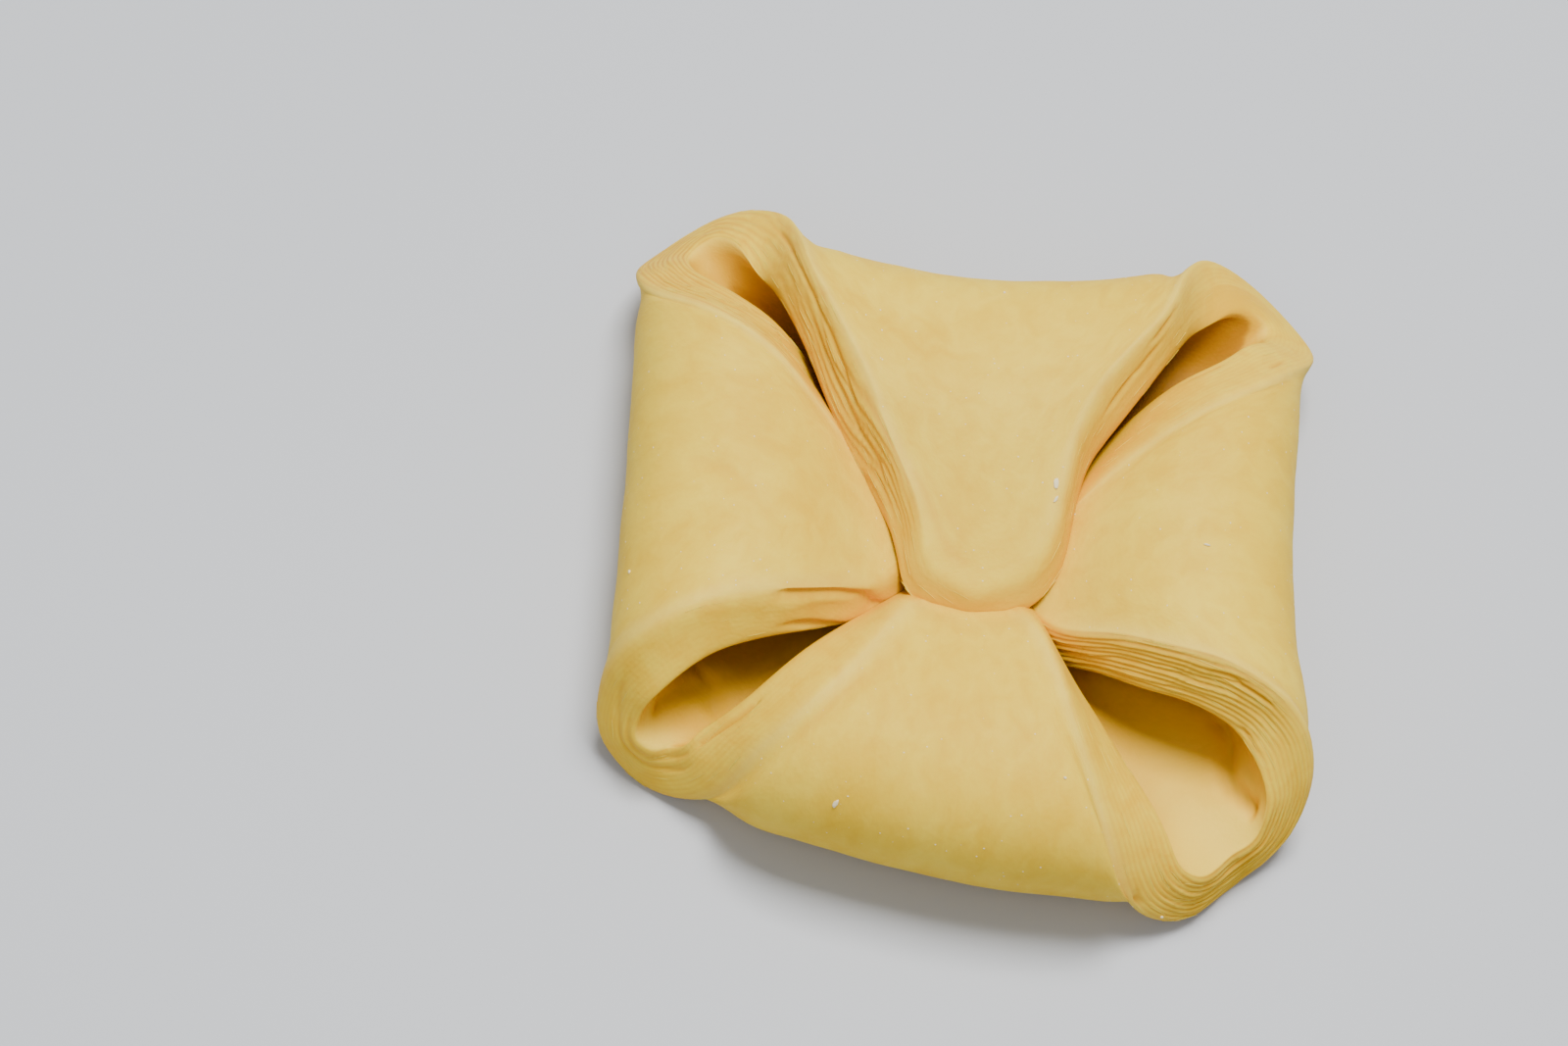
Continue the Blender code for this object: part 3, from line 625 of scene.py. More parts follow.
def layer_strength(first, second):
    """How strongly the layers show, blended around the corners."""
    side = edge_side(first, second)
    total = np.zeros(len(first))
    for (flap, corner), values in LAYER_STRENGTH.items():
        signs, axis = FLAP_SIGNS[flap], CORNER_AXES[corner]
        along = second * signs[1] if axis[0] else first * signs[0]
        own = soft_step(0.5 + along * HALF_EDGE / CORNER_BLEND)
        value = np.interp(np.abs(along), STRENGTH_SHARES, values)
        total += np.where(side == SIDES.index(corner), own * value, 0.0)
    return total


def along_edge(first, second):
    """Distance along the nearest side of the sheet from its middle, as a share of half a side."""
    return np.where(edge_side(first, second) < 2, second, first)


def layer_marks(first, second, depth):
    """Stand-out of the layers on a cut edge, and how deep in a groove each point lies."""
    side = edge_side(first, second)
    along = along_edge(first, second) * HALF_EDGE
    spots = np.stack([along, side * SIDE_APART, depth * DOUGH_THICKNESS], axis=1)
    inside = 1.0 - (2 * depth) ** 4
    stray = (soft_noise(spots, LONG_WANDER, NOISE_SEEDS["long wander"])
             + SHORT_SHARE * soft_noise(spots, SHORT_WANDER, NOISE_SEEDS["short wander"]))
    merged = np.where(side == SIDES.index("back_left"), soft_step(0.5 + along / CORNER_BLEND), 0.0)
    layers_seen = ROLLED_LAYERS - MERGED_LAYERS * merged
    layer = (depth + 0.5) * layers_seen + LAYER_WANDER * (1 + merged) * inside * stray
    groove = 1.0 - np.abs(np.sin(np.pi * layer)) ** GROOVE_WIDTH
    per_layer = np.stack([along, side * SIDE_APART, np.floor(layer) * LAYER_APART], axis=1)
    step = (soft_noise(per_layer, LONG_STEP, NOISE_SEEDS["long step"])
            + SHORT_SHARE * soft_noise(per_layer, SHORT_STEP, NOISE_SEEDS["short step"]))
    patches = PATCH_MEAN + PATCH_SWING * soft_noise(spots, PATCH_LENGTH, NOISE_SEEDS["patches"])
    strength = layer_strength(first, second) * patches
    stand_out = strength * inside * (LAYER_STEP * step - LAYER_GROOVE * groove)
    return stand_out, groove * strength


def line_gap(spots, points):
    """Distance from each spot to a line through the points."""
    nearest = np.full(len(spots), np.inf)
    for start, end in zip(points[:-1], points[1:]):
        start, run = np.array(start), np.array(end) - np.array(start)
        part = np.clip((spots - start) @ run / (run @ run), 0.0, 1.0)
        gap = np.linalg.norm(spots - start - part[:, None] * run, axis=1)
        nearest = np.minimum(nearest, gap)
    return nearest


def sheet_spots(first, second, depth):
    """Places on the flat sheet in millimetres."""
    return np.stack([first * HALF_EDGE, second * HALF_EDGE, depth * DOUGH_THICKNESS], axis=1)


def skin_points(points, depth):
    """Points of a row as places on the outer or the inner skin of the flat sheet."""
    return [(*point, depth * DOUGH_THICKNESS) for point in points]


def mark_rows():
    """All small marks: their points on the flat sheet, width, depth and strength of the painted golden
    shade in them.
    """
    for (flap, corner), rows in CUT_MARKS.items():
        for points, *marks in rows:
            along, height = np.array(points).T
            first, second = corner_share_point(flap, corner, along / HALF_EDGE)
            yield sheet_spots(first, second, height / DOUGH_THICKNESS), *marks
    for depth, rows in ((0.5, OUTER_MARKS), (-0.5, INNER_MARKS)):
        for points, *marks in rows:
            yield skin_points(points, depth), *marks


def small_marks(first, second, depth):
    """Dent of the small cuts and creases, and the painted golden shade in them."""
    spots = sheet_spots(first, second, depth)
    dent, painted_crease_shade = np.zeros(len(spots)), np.zeros(len(spots))
    for points, width, deep, shade_strength in mark_rows():
        felt = np.exp(-(line_gap(spots, points) / width) ** 2)
        dent = np.maximum(dent, deep * felt)
        painted_crease_shade = np.maximum(painted_crease_shade, shade_strength * felt)
    return dent, painted_crease_shade


def painted_mouth_shade(spots):
    """Extra painted amber shade of the inner skin inside the narrow mouths."""
    shade = np.zeros(len(spots))
    for points, reach, strength in PAINTED_MOUTH_SHADES:
        felt = np.exp(-(line_gap(spots, skin_points(points, -0.5)) / reach) ** 2)
        shade = np.maximum(shade, strength * felt)
    return shade * (spots[:, 2] < 0)


def edge_gap(first, second):
    """Distance on the flat sheet to its nearest edge."""
    return (1 - np.maximum(np.abs(first), np.abs(second))) * HALF_EDGE


def on_cut_face(first, second):
    """Whether sheet places lie on a cut face."""
    return np.maximum(np.abs(first), np.abs(second)) > ON_EDGE


def tip_distance(first, second):
    """Distance on the flat sheet to the nearest of its four sharp corners."""
    return np.hypot(1 - np.abs(first), 1 - np.abs(second)) * HALF_EDGE


def near_tip(first, second, reach):
    """One at the sheet's sharp corners, falling to zero over a reach."""
    return np.exp(-(tip_distance(first, second) / reach) ** 2)


def in_flap(flap, first, second):
    """Whether sheet places belong to a flap's quarter of the sheet."""
    signs = FLAP_SIGNS[flap]
    return (first * signs[0] > 0) & (second * signs[1] > 0)


def rounded_tips(first, second):
    """Sheet places with the sharp corners of the square drawn back into round ones."""
    pull = np.where(in_flap("back", first, second), BACK_TIP_PULL, TIP_PULL)
    pull = pull * near_tip(first, second, TIP_PULL_REACH) / HALF_EDGE
    return first - np.sign(first) * pull, second - np.sign(second) * pull


def rounded_lips(depth):
    """How far the cut edge stands back at each depth."""
    return -EDGE_ROUNDING * np.abs(2 * depth) ** EDGE_ROUNDING_POWER


def coarse_ridges(depth):
    """The few even ridges that stand for the layers in the CAD model."""
    return -0.5 * RIDGE_DEPTH * (1 + np.cos(2 * np.pi * LAYER_COUNT * (depth + 0.5)))


def skin_relief(first, second, depth):
    """Broad and small unevenness of both skins."""
    spots = np.stack([first * HALF_EDGE, second * HALF_EDGE, depth * SKIN_APART], axis=1)
    return sum(height * soft_noise(spots, size, seed)
               for seed, (size, height) in enumerate(SKIN_WAVES, NOISE_SEEDS["skin"]))


def unit_rows(rows):
    return rows / np.linalg.norm(rows, axis=1, keepdims=True)


def sheet_middle(first, second, guide_grid):
    """Middle of the folded sheet at sheet places, and its slopes along both of its axes."""
    columns, values, along_a, along_b = sheet_rows(first, second, GRID_CELLS)
    nearby = guide_grid[columns]
    return [np.einsum("ij,ijk->ik", weights, nearby) for weights in (values, along_a, along_b)]


def fine_relief(first, second, depth):
    """How far the fine surface lifts the skins, and how far it moves the cut faces out."""
    dent, _ = small_marks(first, second, depth)
    lift = (skin_relief(first, second, depth) - dent) * np.sign(depth) * np.abs(2 * depth) ** 4
    layers = layer_marks(first, second, depth)[0] - dent * (1 - np.abs(2 * depth) ** 8)
    return np.where(on_cut_face(first, second), 0.0, lift), layers


def tip_sinking(first, second):
    """How far the cut edges sink near the tips, and how far the back flap's tip is worn down."""
    at_back = in_flap("back", first, second)
    sink = np.where(at_back, BACK_TIP_SINK, TIP_SINK) * near_tip(first, second, TIP_RAMP_REACH)
    return sink, BACK_TIP_LOWER * near_tip(first, second, TIP_MERGE) * at_back


def folded(first, second, depth, guide_grid, fine):
    """Place in space of sheet points; depth runs from -0.5 inside to 0.5 on the outer skin."""
    drawn = rounded_tips(first, second) if fine else (first, second)
    middle, slope_a, slope_b = sheet_middle(*drawn, guide_grid)
    tilts, slants, felt = cut_tilts(first, second)
    share = np.minimum(felt, 1.0)[:, None]
    outward = unit_rows(-np.cross(slope_a, slope_b)) * (1 - share) + tilts * share
    outward = unit_rows(outward)
    thickness = DOUGH_THICKNESS * (1 - TIP_PRESS * near_tip(first, second, TIP_PRESS_REACH))
    place = middle + outward * (depth * thickness)[:, None]
    place[:, 2] -= (depth + 0.5) * tip_print(place) * front_share(first, second)
    if fine:
        slants = slants + TIP_RAMP * near_tip(first, second, TIP_RAMP_REACH)
        lift, layers = fine_relief(first, second, depth)
        sink, worn = tip_sinking(first, second)
        place[:, 2] -= worn * (depth + 0.5)
        place = place + outward * lift[:, None]
    for near, slope in ((first, slope_a), (second, slope_b)):
        gap = (1.0 - np.abs(near)) * HALF_EDGE
        felt = np.exp(-(gap / RIM_FADE) ** 2)
        slanted = np.exp(-(gap / SLANT_FADE) ** 2) * slants * (0.5 - depth)
        if fine:
            stand_out = rounded_lips(depth) - RIDGE_DEPTH + (np.abs(near) > ON_EDGE) * layers
            place[:, 2] -= sink * felt * (0.5 - depth)
        else:
            stand_out = rounded_lips(depth) + coarse_ridges(depth)
        reach = unit_rows(slope) * np.sign(near)[:, None]
        place = place + reach * (slanted + felt * stand_out)[:, None]
    return place


def middle_on_table(guide_grid):
    """Middle of the coarse sheet's box, which the CAD model has over its origin."""
    inner = np.linspace(-1.0 + EDGE_CELL, 1.0 - EDGE_CELL, MESH_CELLS - 1)
    line = np.concatenate([[-1.0], inner, [1.0]])
    depth = np.linspace(-0.5, 0.5, 2 * LAYER_COUNT + 1)
    first, second, depth = (grid.ravel() for grid in np.meshgrid(line, line, depth, indexing="ij"))
    on_surface = (np.abs(first) == 1) | (np.abs(second) == 1) | (np.abs(depth) == 0.5)
    place = folded(first[on_surface], second[on_surface], depth[on_surface], guide_grid, False)
    middle = (place.min(axis=0) + place.max(axis=0)) / 2
    return np.array([middle[0], middle[1], 0.0])


# ---- trees, meshes and pieces ----

def new_tree(name, inputs):
    """Geometry Nodes tree with one geometry output and the given named inputs."""
    tree = bpy.data.node_groups.new(name, "GeometryNodeTree")
    tree.is_modifier = True
    tree.interface.new_socket("Geometry", in_out="OUTPUT", socket_type="NodeSocketGeometry")
    for label, kind in inputs:
        tree.interface.new_socket(label, in_out="INPUT", socket_type="NodeSocket" + kind)
    return tree


def add_node(tree, kind, **settings):
    node = tree.nodes.new(kind)
    for setting, value in settings.items():
        setattr(node, setting, value)
    return node


def finish_tree(tree, geometry, group_in):
    """End a tree in Realize Instances and Set Material."""
    realize = add_node(tree, "GeometryNodeRealizeInstances")
    paint = add_node(tree, "GeometryNodeSetMaterial")
    group_out = add_node(tree, "NodeGroupOutput")
    tree.links.new(geometry, realize.inputs["Geometry"])
    tree.links.new(realize.outputs["Geometry"], paint.inputs["Geometry"])
    tree.links.new(group_in.outputs["Material"], paint.inputs["Material"])
    tree.links.new(paint.outputs["Geometry"], group_out.inputs["Geometry"])


def rolled_sheet_tree():
    """Flat slab two units wide, with a mesh line at every cell and layer."""
    tree = new_tree("rolled_sheet", (("Lines Across", "Int"), ("Lines Through", "Int"),
                                     ("Material", "Material")))
    group_in = add_node(tree, "NodeGroupInput")
    slab = add_node(tree, "GeometryNodeMeshCube")
    slab.inputs["Size"].default_value = (2.0, 2.0, 2.0)
    tree.links.new(group_in.outputs["Lines Across"], slab.inputs["Vertices X"])
    tree.links.new(group_in.outputs["Lines Across"], slab.inputs["Vertices Y"])
    tree.links.new(group_in.outputs["Lines Through"], slab.inputs["Vertices Z"])
    finish_tree(tree, slab.outputs["Mesh"], group_in)
    return tree


def masked_points(tree, group_in, mask):
    """Points strewn on the faces of the surface, the denser the higher its mask."""
    surface = add_node(tree, "GeometryNodeObjectInfo", transform_space="ORIGINAL")
    where = add_node(tree, "GeometryNodeInputNamedAttribute", data_type="FLOAT")
    where.inputs["Name"].default_value = mask
    thinned = add_node(tree, "ShaderNodeMath", operation="MULTIPLY")
    points = add_node(tree, "GeometryNodeDistributePointsOnFaces", distribute_method="RANDOM")
    link = tree.links.new
    link(group_in.outputs["Surface"], surface.inputs["Object"])
    link(surface.outputs["Geometry"], points.inputs["Mesh"])
    link(where.outputs["Attribute"], thinned.inputs[0])
    link(group_in.outputs["Density"], thinned.inputs[1])
    link(thinned.outputs["Value"], points.inputs["Density"])
    link(group_in.outputs["Seed"], points.inputs["Seed"])
    return points


def random_sizes(tree, group_in):
    """Sizes of the grains, their shape scaled at random between the smallest and the largest."""
    size = add_node(tree, "FunctionNodeRandomValue", data_type="FLOAT")
    stretched = add_node(tree, "ShaderNodeVectorMath", operation="SCALE")
    link = tree.links.new
    link(group_in.outputs["Seed"], size.inputs["Seed"])
    link(group_in.outputs["Smallest"], size.inputs["Min"])
    link(group_in.outputs["Largest"], size.inputs["Max"])
    link(group_in.outputs["Shape"], stretched.inputs[0])
    link(size.outputs["Value"], stretched.inputs["Scale"])
    return stretched.outputs["Vector"]


def turned_along(tree, turn, along):
    """Turns of the grains, lined up with a direction stored on the surface."""
    run = add_node(tree, "GeometryNodeInputNamedAttribute", data_type="FLOAT_VECTOR")
    run.inputs["Name"].default_value = along
    lined_up = add_node(tree, "FunctionNodeAlignRotationToVector", axis="X", pivot_axis="Z")
    tree.links.new(turn, lined_up.inputs["Rotation"])
    tree.links.new(run.outputs["Attribute"], lined_up.inputs["Vector"])
    return lined_up.outputs["Rotation"]


def scattered_tree(name, mask, along=None):
    """Small flattened grains on the faces where a mask is high, turned along an attribute."""
    tree = new_tree(name, (("Surface", "Object"), ("Density", "Float"), ("Smallest", "Float"),
                           ("Largest", "Float"), ("Shape", "Vector"), ("Seed", "Int"),
                           ("Material", "Material")))
    group_in = add_node(tree, "NodeGroupInput")
    points = masked_points(tree, group_in, mask)
    grain = add_node(tree, "GeometryNodeMeshIcoSphere")
    grain.inputs["Radius"].default_value = 0.5
    grain.inputs["Subdivisions"].default_value = 1
    copies = add_node(tree, "GeometryNodeInstanceOnPoints")
    turn = points.outputs["Rotation"]
    if along:
        turn = turned_along(tree, turn, along)
    tree.links.new(points.outputs["Points"], copies.inputs["Points"])
    tree.links.new(grain.outputs["Mesh"], copies.inputs["Instance"])
    tree.links.new(random_sizes(tree, group_in), copies.inputs["Scale"])
    tree.links.new(turn, copies.inputs["Rotation"])
    finish_tree(tree, copies.outputs["Instances"], group_in)
    return tree


def plain_mesh(name, tree, values):
    """Plain mesh object made by a tree from named values."""
    host = add_object(name + "_tree", bpy.data.meshes.new(name + "_tree"))
    modifier = host.modifiers.new(name, "NODES")
    modifier.node_group = tree
    for socket in tree.interface.items_tree:
        if socket.item_type == "SOCKET" and socket.in_out == "INPUT":
            modifier[socket.identifier] = values[socket.name]
    graph = bpy.context.evaluated_depsgraph_get()
    mesh = bpy.data.meshes.new_from_object(host.evaluated_get(graph))
    mesh.name = name
    bpy.data.objects.remove(host, do_unlink=True)
    return add_object(name, mesh)


def add_object(name, data):
    new_object = bpy.data.objects.new(name, data)
    bpy.context.scene.collection.objects.link(new_object)
    return new_object


def set_places(mesh, places):
    mesh.vertices.foreach_set("co", np.asarray(places, dtype=np.float32).ravel())
    mesh.update()


def get_places(mesh):
    places = np.zeros(len(mesh.vertices) * 3, dtype=np.float32)
    mesh.vertices.foreach_get("co", places)
    return places.reshape(-1, 3).astype(float)


def add_marks(mesh, name, values):
    """Store one number or one vector at each vertex under a name."""
    kind = "FLOAT" if np.ndim(values) == 1 else "FLOAT_VECTOR"
    marks = mesh.attributes.new(name, kind, "POINT")
    field = "value" if kind == "FLOAT" else "vector"
    marks.data.foreach_set(field, np.asarray(values, dtype=np.float32).ravel())


def crowded(line):
    """Even places between -1 and 1 moved closer together towards both ends."""
    return (1 - EDGE_CROWDING) * line + EDGE_CROWDING * np.sin(line * np.pi / 2)


def make_dough(material, guide_grid, middle):
    """The folded sheet with its fine surface, standing where the CAD model stands."""
    piece = plain_mesh("dough_sheet", rolled_sheet_tree(),
                       {"Lines Across": FINE_CELLS + 1, "Lines Through": FINE_LAYERS + 1,
                        "Material": material})
    flat = get_places(piece.data)
    first, second, depth = crowded(flat[:, 0]), crowded(flat[:, 1]), -flat[:, 2] / 2
    place = folded(first, second, depth, guide_grid, True)
    place[:, 2] = np.where(place[:, 2] < CONTACT_HEIGHT, 0.0, place[:, 2])
    set_places(piece.data, (place - middle) * MILLIMETRE)
    ease_skin(piece.data, first, second, depth)
    mark_dough(piece.data, first, second, depth)
    piece.data.shade_smooth()
    return piece


def mark_dough(mesh, first, second, depth):
    """Marks that the dough's material and the scattered grains read."""
    gap = edge_gap(first, second)
    on_cut, on_skin = on_cut_face(first, second), np.abs(depth) > ON_SKIN
    layered = on_cut & ~on_skin
    outer_skin = (depth > ON_SKIN) & (gap > RIM_MARGIN)
    away = 1 - np.exp(-(tip_distance(first, second) / TIP_MERGE) ** 4)
    lip = away * np.where(depth > 0, np.exp(-(gap / LIP_WIDTH) ** 2), 0.0) * np.abs(2 * depth) ** 6
    groove = np.maximum(layer_marks(first, second, depth)[1], 0.0)
    spots = sheet_spots(first, second, depth)
    # Painted shade: the more sky the dough around a vertex hides, the deeper its amber
    painted_fold_shade = sky_blocked_share(mesh) * np.where(outer_skin, OUTER_PAINTED_SHADE, 1.0)
    add_marks(mesh, "cut_face", away * np.where(on_cut, np.where(on_skin, LIP_CUT_SHARE, 1.0), 0.0))
    add_marks(mesh, "inner_skin", np.where(depth < -ON_SKIN, 1.0, 0.0))
    add_marks(mesh, "lip", lip)
    add_marks(mesh, "groove", away * np.where(layered, groove, 0.0))
    add_marks(mesh, "layered", np.where(layered, layer_strength(first, second), 0.0))
    # Painted golden shade in the small cuts and creases
    add_marks(mesh, "painted_crease_shade", small_marks(first, second, depth)[1])
    # Painted shade of the folds, with the painted shade of the narrow mouths added
    add_marks(mesh, "painted_fold_shade", np.minimum(painted_fold_shade + painted_mouth_shade(spots), 1.0))
    add_marks(mesh, "outer_skin", np.where(outer_skin, 1.0, 0.0))
    add_marks(mesh, "sheet_place", spots * MILLIMETRE)
    add_marks(mesh, "edge_run", edge_run(mesh, first, second))


def even_directions(count):
    """Unit vectors spread evenly over all directions."""
    number = np.arange(count) + 0.5
    height = 1 - 2 * number / count
    turn = np.pi * (1 + np.sqrt(5)) * number
    across = np.sqrt(1 - height ** 2)
    return np.stack([across * np.cos(turn), across * np.sin(turn), height], axis=1)


def sky_blocked_share(mesh):
    """Share of what each vertex faces that is other dough or lies below the horizon, 0 to 1; it sets
    the painted shade of the folds.
    """
    places = get_places(mesh)
    normals = np.array([vertex.normal[:] for vertex in mesh.vertices])
    tree = BVHTree.FromPolygons(places.tolist(), [face.vertices[:] for face in mesh.polygons])
    blocked, total = np.zeros(len(places)), np.zeros(len(places))
    starts = places + normals * RAY_LIFT * MILLIMETRE
    for ray in even_directions(SKY_RAYS):
        facing = normals @ ray
        used = facing > FLATTEST_RAY
        total += np.where(used, facing, 0.0)
        if ray[2] < 0:
            blocked += np.where(used, facing, 0.0)
            continue
        aim = Vector(ray)
        for index in np.flatnonzero(used):
            if tree.ray_cast(Vector(starts[index]), aim, RAY_REACH * MILLIMETRE)[0] is not None:
                blocked[index] += facing[index]
    return smoothed(mesh, blocked / np.maximum(total, 1e-6), SHADE_SHARE, SHADE_ROUNDS)


def edge_ends(mesh):
    """Numbers of the two vertices of every mesh edge."""
    ends = np.zeros(len(mesh.edges) * 2, dtype=int)
    mesh.edges.foreach_get("vertices", ends)
    return ends[::2], ends[1::2]


def smoothed(mesh, values, share, rounds):
    """Values averaged a share of the way with those of the neighbouring vertices, round by round."""
    one, other = edge_ends(mesh)
    count = np.bincount(one, minlength=len(values)) + np.bincount(other, minlength=len(values))
    count = np.maximum(count, 1)
    for _ in range(rounds):
        around = (np.bincount(one, weights=values[other], minlength=len(values))
                  + np.bincount(other, weights=values[one], minlength=len(values)))
        values = values + share * (around / count - values)
    return values


def ease_skin(mesh, first, second, depth):
    """Ease the creases behind the rims, the two back corners and the back flap's tip."""
    gap = edge_gap(first, second)
    behind_rim = soft_step((gap - EASED_FROM) / EASE_SETS_IN) * soft_step((EASED_TO - gap) / EASE_FADES)
    weight = np.where(depth > ON_SKIN, behind_rim, 0.0)
    lips = LIP_EASE * (1 - layer_strength(first, second)) ** 3 * np.exp(-(gap / LIP_WIDTH) ** 2)
    weight = np.maximum(weight, lips * (1 - np.minimum(small_marks(first, second, depth)[0], 1.0)))
    for corner in ("back_right", "back_left"):
        axis = CORNER_AXES[corner]
        aside = np.hypot(first - axis[0], second - axis[1]) * HALF_EDGE
        weight = np.maximum(weight, np.exp(-(aside / CORNER_EASE_REACH) ** 2))
    at_tip = in_flap("back", first, second) & (depth > TIP_EASE_DEPTH)
    weight = np.maximum(weight, np.where(at_tip, near_tip(first, second, TIP_EASE_REACH), 0.0))
    places = get_places(mesh)
    for axis in range(3):
        places[:, axis] = smoothed(mesh, places[:, axis], EASE_SHARE * weight, EASE_ROUNDS)
    set_places(mesh, places)


def edge_run(mesh, first, second):
    """Direction of the nearest cut edge at each vertex, from its neighbours along the edge."""
    places = get_places(mesh)
    along = along_edge(first, second)
    one, other = edge_ends(mesh)
    change = along[other] - along[one]
    step = (places[other] - places[one]) * np.sign(change)[:, None]
    step = step * (np.abs(change) > 1e-9)[:, None]
    run = np.zeros_like(places)
    np.add.at(run, one, step)
    np.add.at(run, other, step)
    return run / np.maximum(np.linalg.norm(run, axis=1, keepdims=True), 1e-9)


def sheet_frame(dough, spot):
    """Place, outward direction and direction along the nearest cut edge at a sheet place."""
    mesh = dough.data
    sheet_places = np.zeros(len(mesh.vertices) * 3, dtype=np.float32)
    mesh.attributes["sheet_place"].data.foreach_get("vector", sheet_places)
    gaps = np.linalg.norm(sheet_places.reshape(-1, 3) - np.array(spot) * MILLIMETRE, axis=1)
    index = int(np.argmin(gaps))
    outward = mesh.vertices[index].normal.copy()
    run = Vector(mesh.attributes["edge_run"].data[index].vector)
    run = (run - outward * run.dot(outward)).normalized()
    return mesh.vertices[index].co.copy(), outward, run


def lay_on(dough, places, spot, turn):
    """Local places, in millimetres with z outward, laid on the dough at a sheet place."""
    origin, outward, run = sheet_frame(dough, spot)
    beside = outward.cross(run)
    angle = math.radians(turn)
    ahead = run * math.cos(angle) + beside * math.sin(angle)
    beside = outward.cross(ahead)
    frame = np.array([ahead[:], beside[:], outward[:]])
    return places @ frame * MILLIMETRE + np.array(origin[:])


def crumb(bit, size, seed):
    """One uneven lump: adds it to an empty mesh and returns the places of its vertices."""
    bmesh.ops.create_icosphere(bit, subdivisions=3, radius=0.5)
    places = np.array([vertex.co[:] for vertex in bit.verts])
    bumps = CRUMB_UNEVENNESS * soft_noise(places + CRUMB_APART, CRUMB_BUMPS, seed)
    places = places * (1 + bumps)[:, None] * np.array(size)
    places[:, 2] += CRUMB_LIFT * size[2]
    return places


def make_specks(dough, material):
    """Flour specks strewn over the outer skin."""
    return plain_mesh("flour_specks", scattered_tree("flour_specks", "outer_skin"),
                      {"Surface": dough, "Density": SPECK_DENSITY,
                       "Smallest": SPECK_SIZES[0] * MILLIMETRE, "Largest": SPECK_SIZES[1] * MILLIMETRE,
                       "Shape": SPECK_SHAPE, "Seed": SPECK_SEED, "Material": material})


def make_shreds(dough, material):
    """Thin shreds of pulled layers along the layered cut faces."""
    return plain_mesh("layer_shreds", scattered_tree("layer_shreds", "layered", "edge_run"),
                      {"Surface": dough, "Density": SHRED_DENSITY,
                       "Smallest": SHRED_SIZES[0] * MILLIMETRE, "Largest": SHRED_SIZES[1] * MILLIMETRE,
                       "Shape": SHRED_SHAPE, "Seed": SHRED_SEED, "Material": material})


def make_crumbs(dough, material):
    """All crumbs in one mesh, each lying where its row says."""
    mesh = bmesh.new()
    data = bpy.data.meshes.new("crumbs")
    for seed, (spot, length, width, height, turn) in enumerate(CRUMBS):
        bit = bmesh.new()
        places = crumb(bit, (length, width, height), seed)
        for vertex, place in zip(bit.verts, lay_on(dough, places, spot, turn)):
            vertex.co = Vector(place)
        bmesh.ops.recalc_face_normals(bit, faces=bit.faces[:])
        bit.to_mesh(data)
        bit.free()
        mesh.from_mesh(data)
    mesh.to_mesh(data)
    mesh.free()
    data.materials.append(material)
    data.shade_smooth()
    return add_object("crumbs", data)


# ---- finishes ----

def new_material(name):
    material = bpy.data.materials.new(name)
    material.use_nodes = True
    return material, material.node_tree, material.node_tree.nodes["Principled BSDF"]


def new_group(name, inputs, outputs):
    """Shader node group with named inputs (kind, value) and outputs (kind)."""
    group = bpy.data.node_groups.new(name, "ShaderNodeTree")
    for label, kind, value in inputs:
        socket = group.interface.new_socket(label, in_out="INPUT", socket_type="NodeSocket" + kind)
        socket.default_value = value
    for label, kind in outputs:
        group.interface.new_socket(label, in_out="OUTPUT", socket_type="NodeSocket" + kind)
    return group, add_node(group, "NodeGroupInput"), add_node(group, "NodeGroupOutput")


def mealy_grain_group():
    """Fine floury grain of raw dough: height for a bump and a share for roughness."""
    group, inside, out = new_group(
        "mealy_grain", (("Place", "Vector", (0, 0, 0)), ("Grains Per Metre", "Float", 1400.0)),
        (("Height", "Float"), ("Share", "Float")))
    fine = add_node(group, "ShaderNodeTexNoise")
    fine.inputs["Detail"].default_value = 4.0
    fine.inputs["Roughness"].default_value = 0.6
    cells = add_node(group, "ShaderNodeTexVoronoi")
    both = add_node(group, "ShaderNodeMix", data_type="FLOAT")
    both.inputs["Factor"].default_value = 0.35
    link = group.links.new
    link(inside.outputs["Place"], fine.inputs["Vector"])
    link(inside.outputs["Place"], cells.inputs["Vector"])
    link(inside.outputs["Grains Per Metre"], fine.inputs["Scale"])
    link(inside.outputs["Grains Per Metre"], cells.inputs["Scale"])
    link(fine.outputs["Fac"], both.inputs["A"])
    link(cells.outputs["Distance"], both.inputs["B"])
    link(both.outputs["Result"], out.inputs["Height"])
    link(fine.outputs["Fac"], out.inputs["Share"])
    return group


def mottle_group():
    """Soft cloudy patches between two colours, as butter shows through dough."""
    group, inside, out = new_group(
        "butter_mottle", (("Place", "Vector", (0, 0, 0)), ("Patches Per Metre", "Float", 60.0),
                          ("Pale", "Color", (1, 1, 1, 1)), ("Deep", "Color", (0, 0, 0, 1))),
        (("Color", "Color"), ("Share", "Float")))
    patches = add_node(group, "ShaderNodeTexNoise")
    patches.inputs["Detail"].default_value = 5.0
    patches.inputs["Roughness"].default_value = 0.55
    patches.inputs["Distortion"].default_value = 0.6
    spread = add_node(group, "ShaderNodeMapRange")
    spread.inputs["From Min"].default_value = 0.36
    spread.inputs["From Max"].default_value = 0.68
    mixed = add_node(group, "ShaderNodeMix", data_type="RGBA")
    link = group.links.new
    link(inside.outputs["Place"], patches.inputs["Vector"])
    link(inside.outputs["Patches Per Metre"], patches.inputs["Scale"])
    link(patches.outputs["Fac"], spread.inputs["Value"])
    link(spread.outputs["Result"], mixed.inputs["Factor"])
    link(inside.outputs["Pale"], mixed.inputs["A"])
    link(inside.outputs["Deep"], mixed.inputs["B"])
    link(mixed.outputs["Result"], out.inputs["Color"])
    link(spread.outputs["Result"], out.inputs["Share"])
    return group


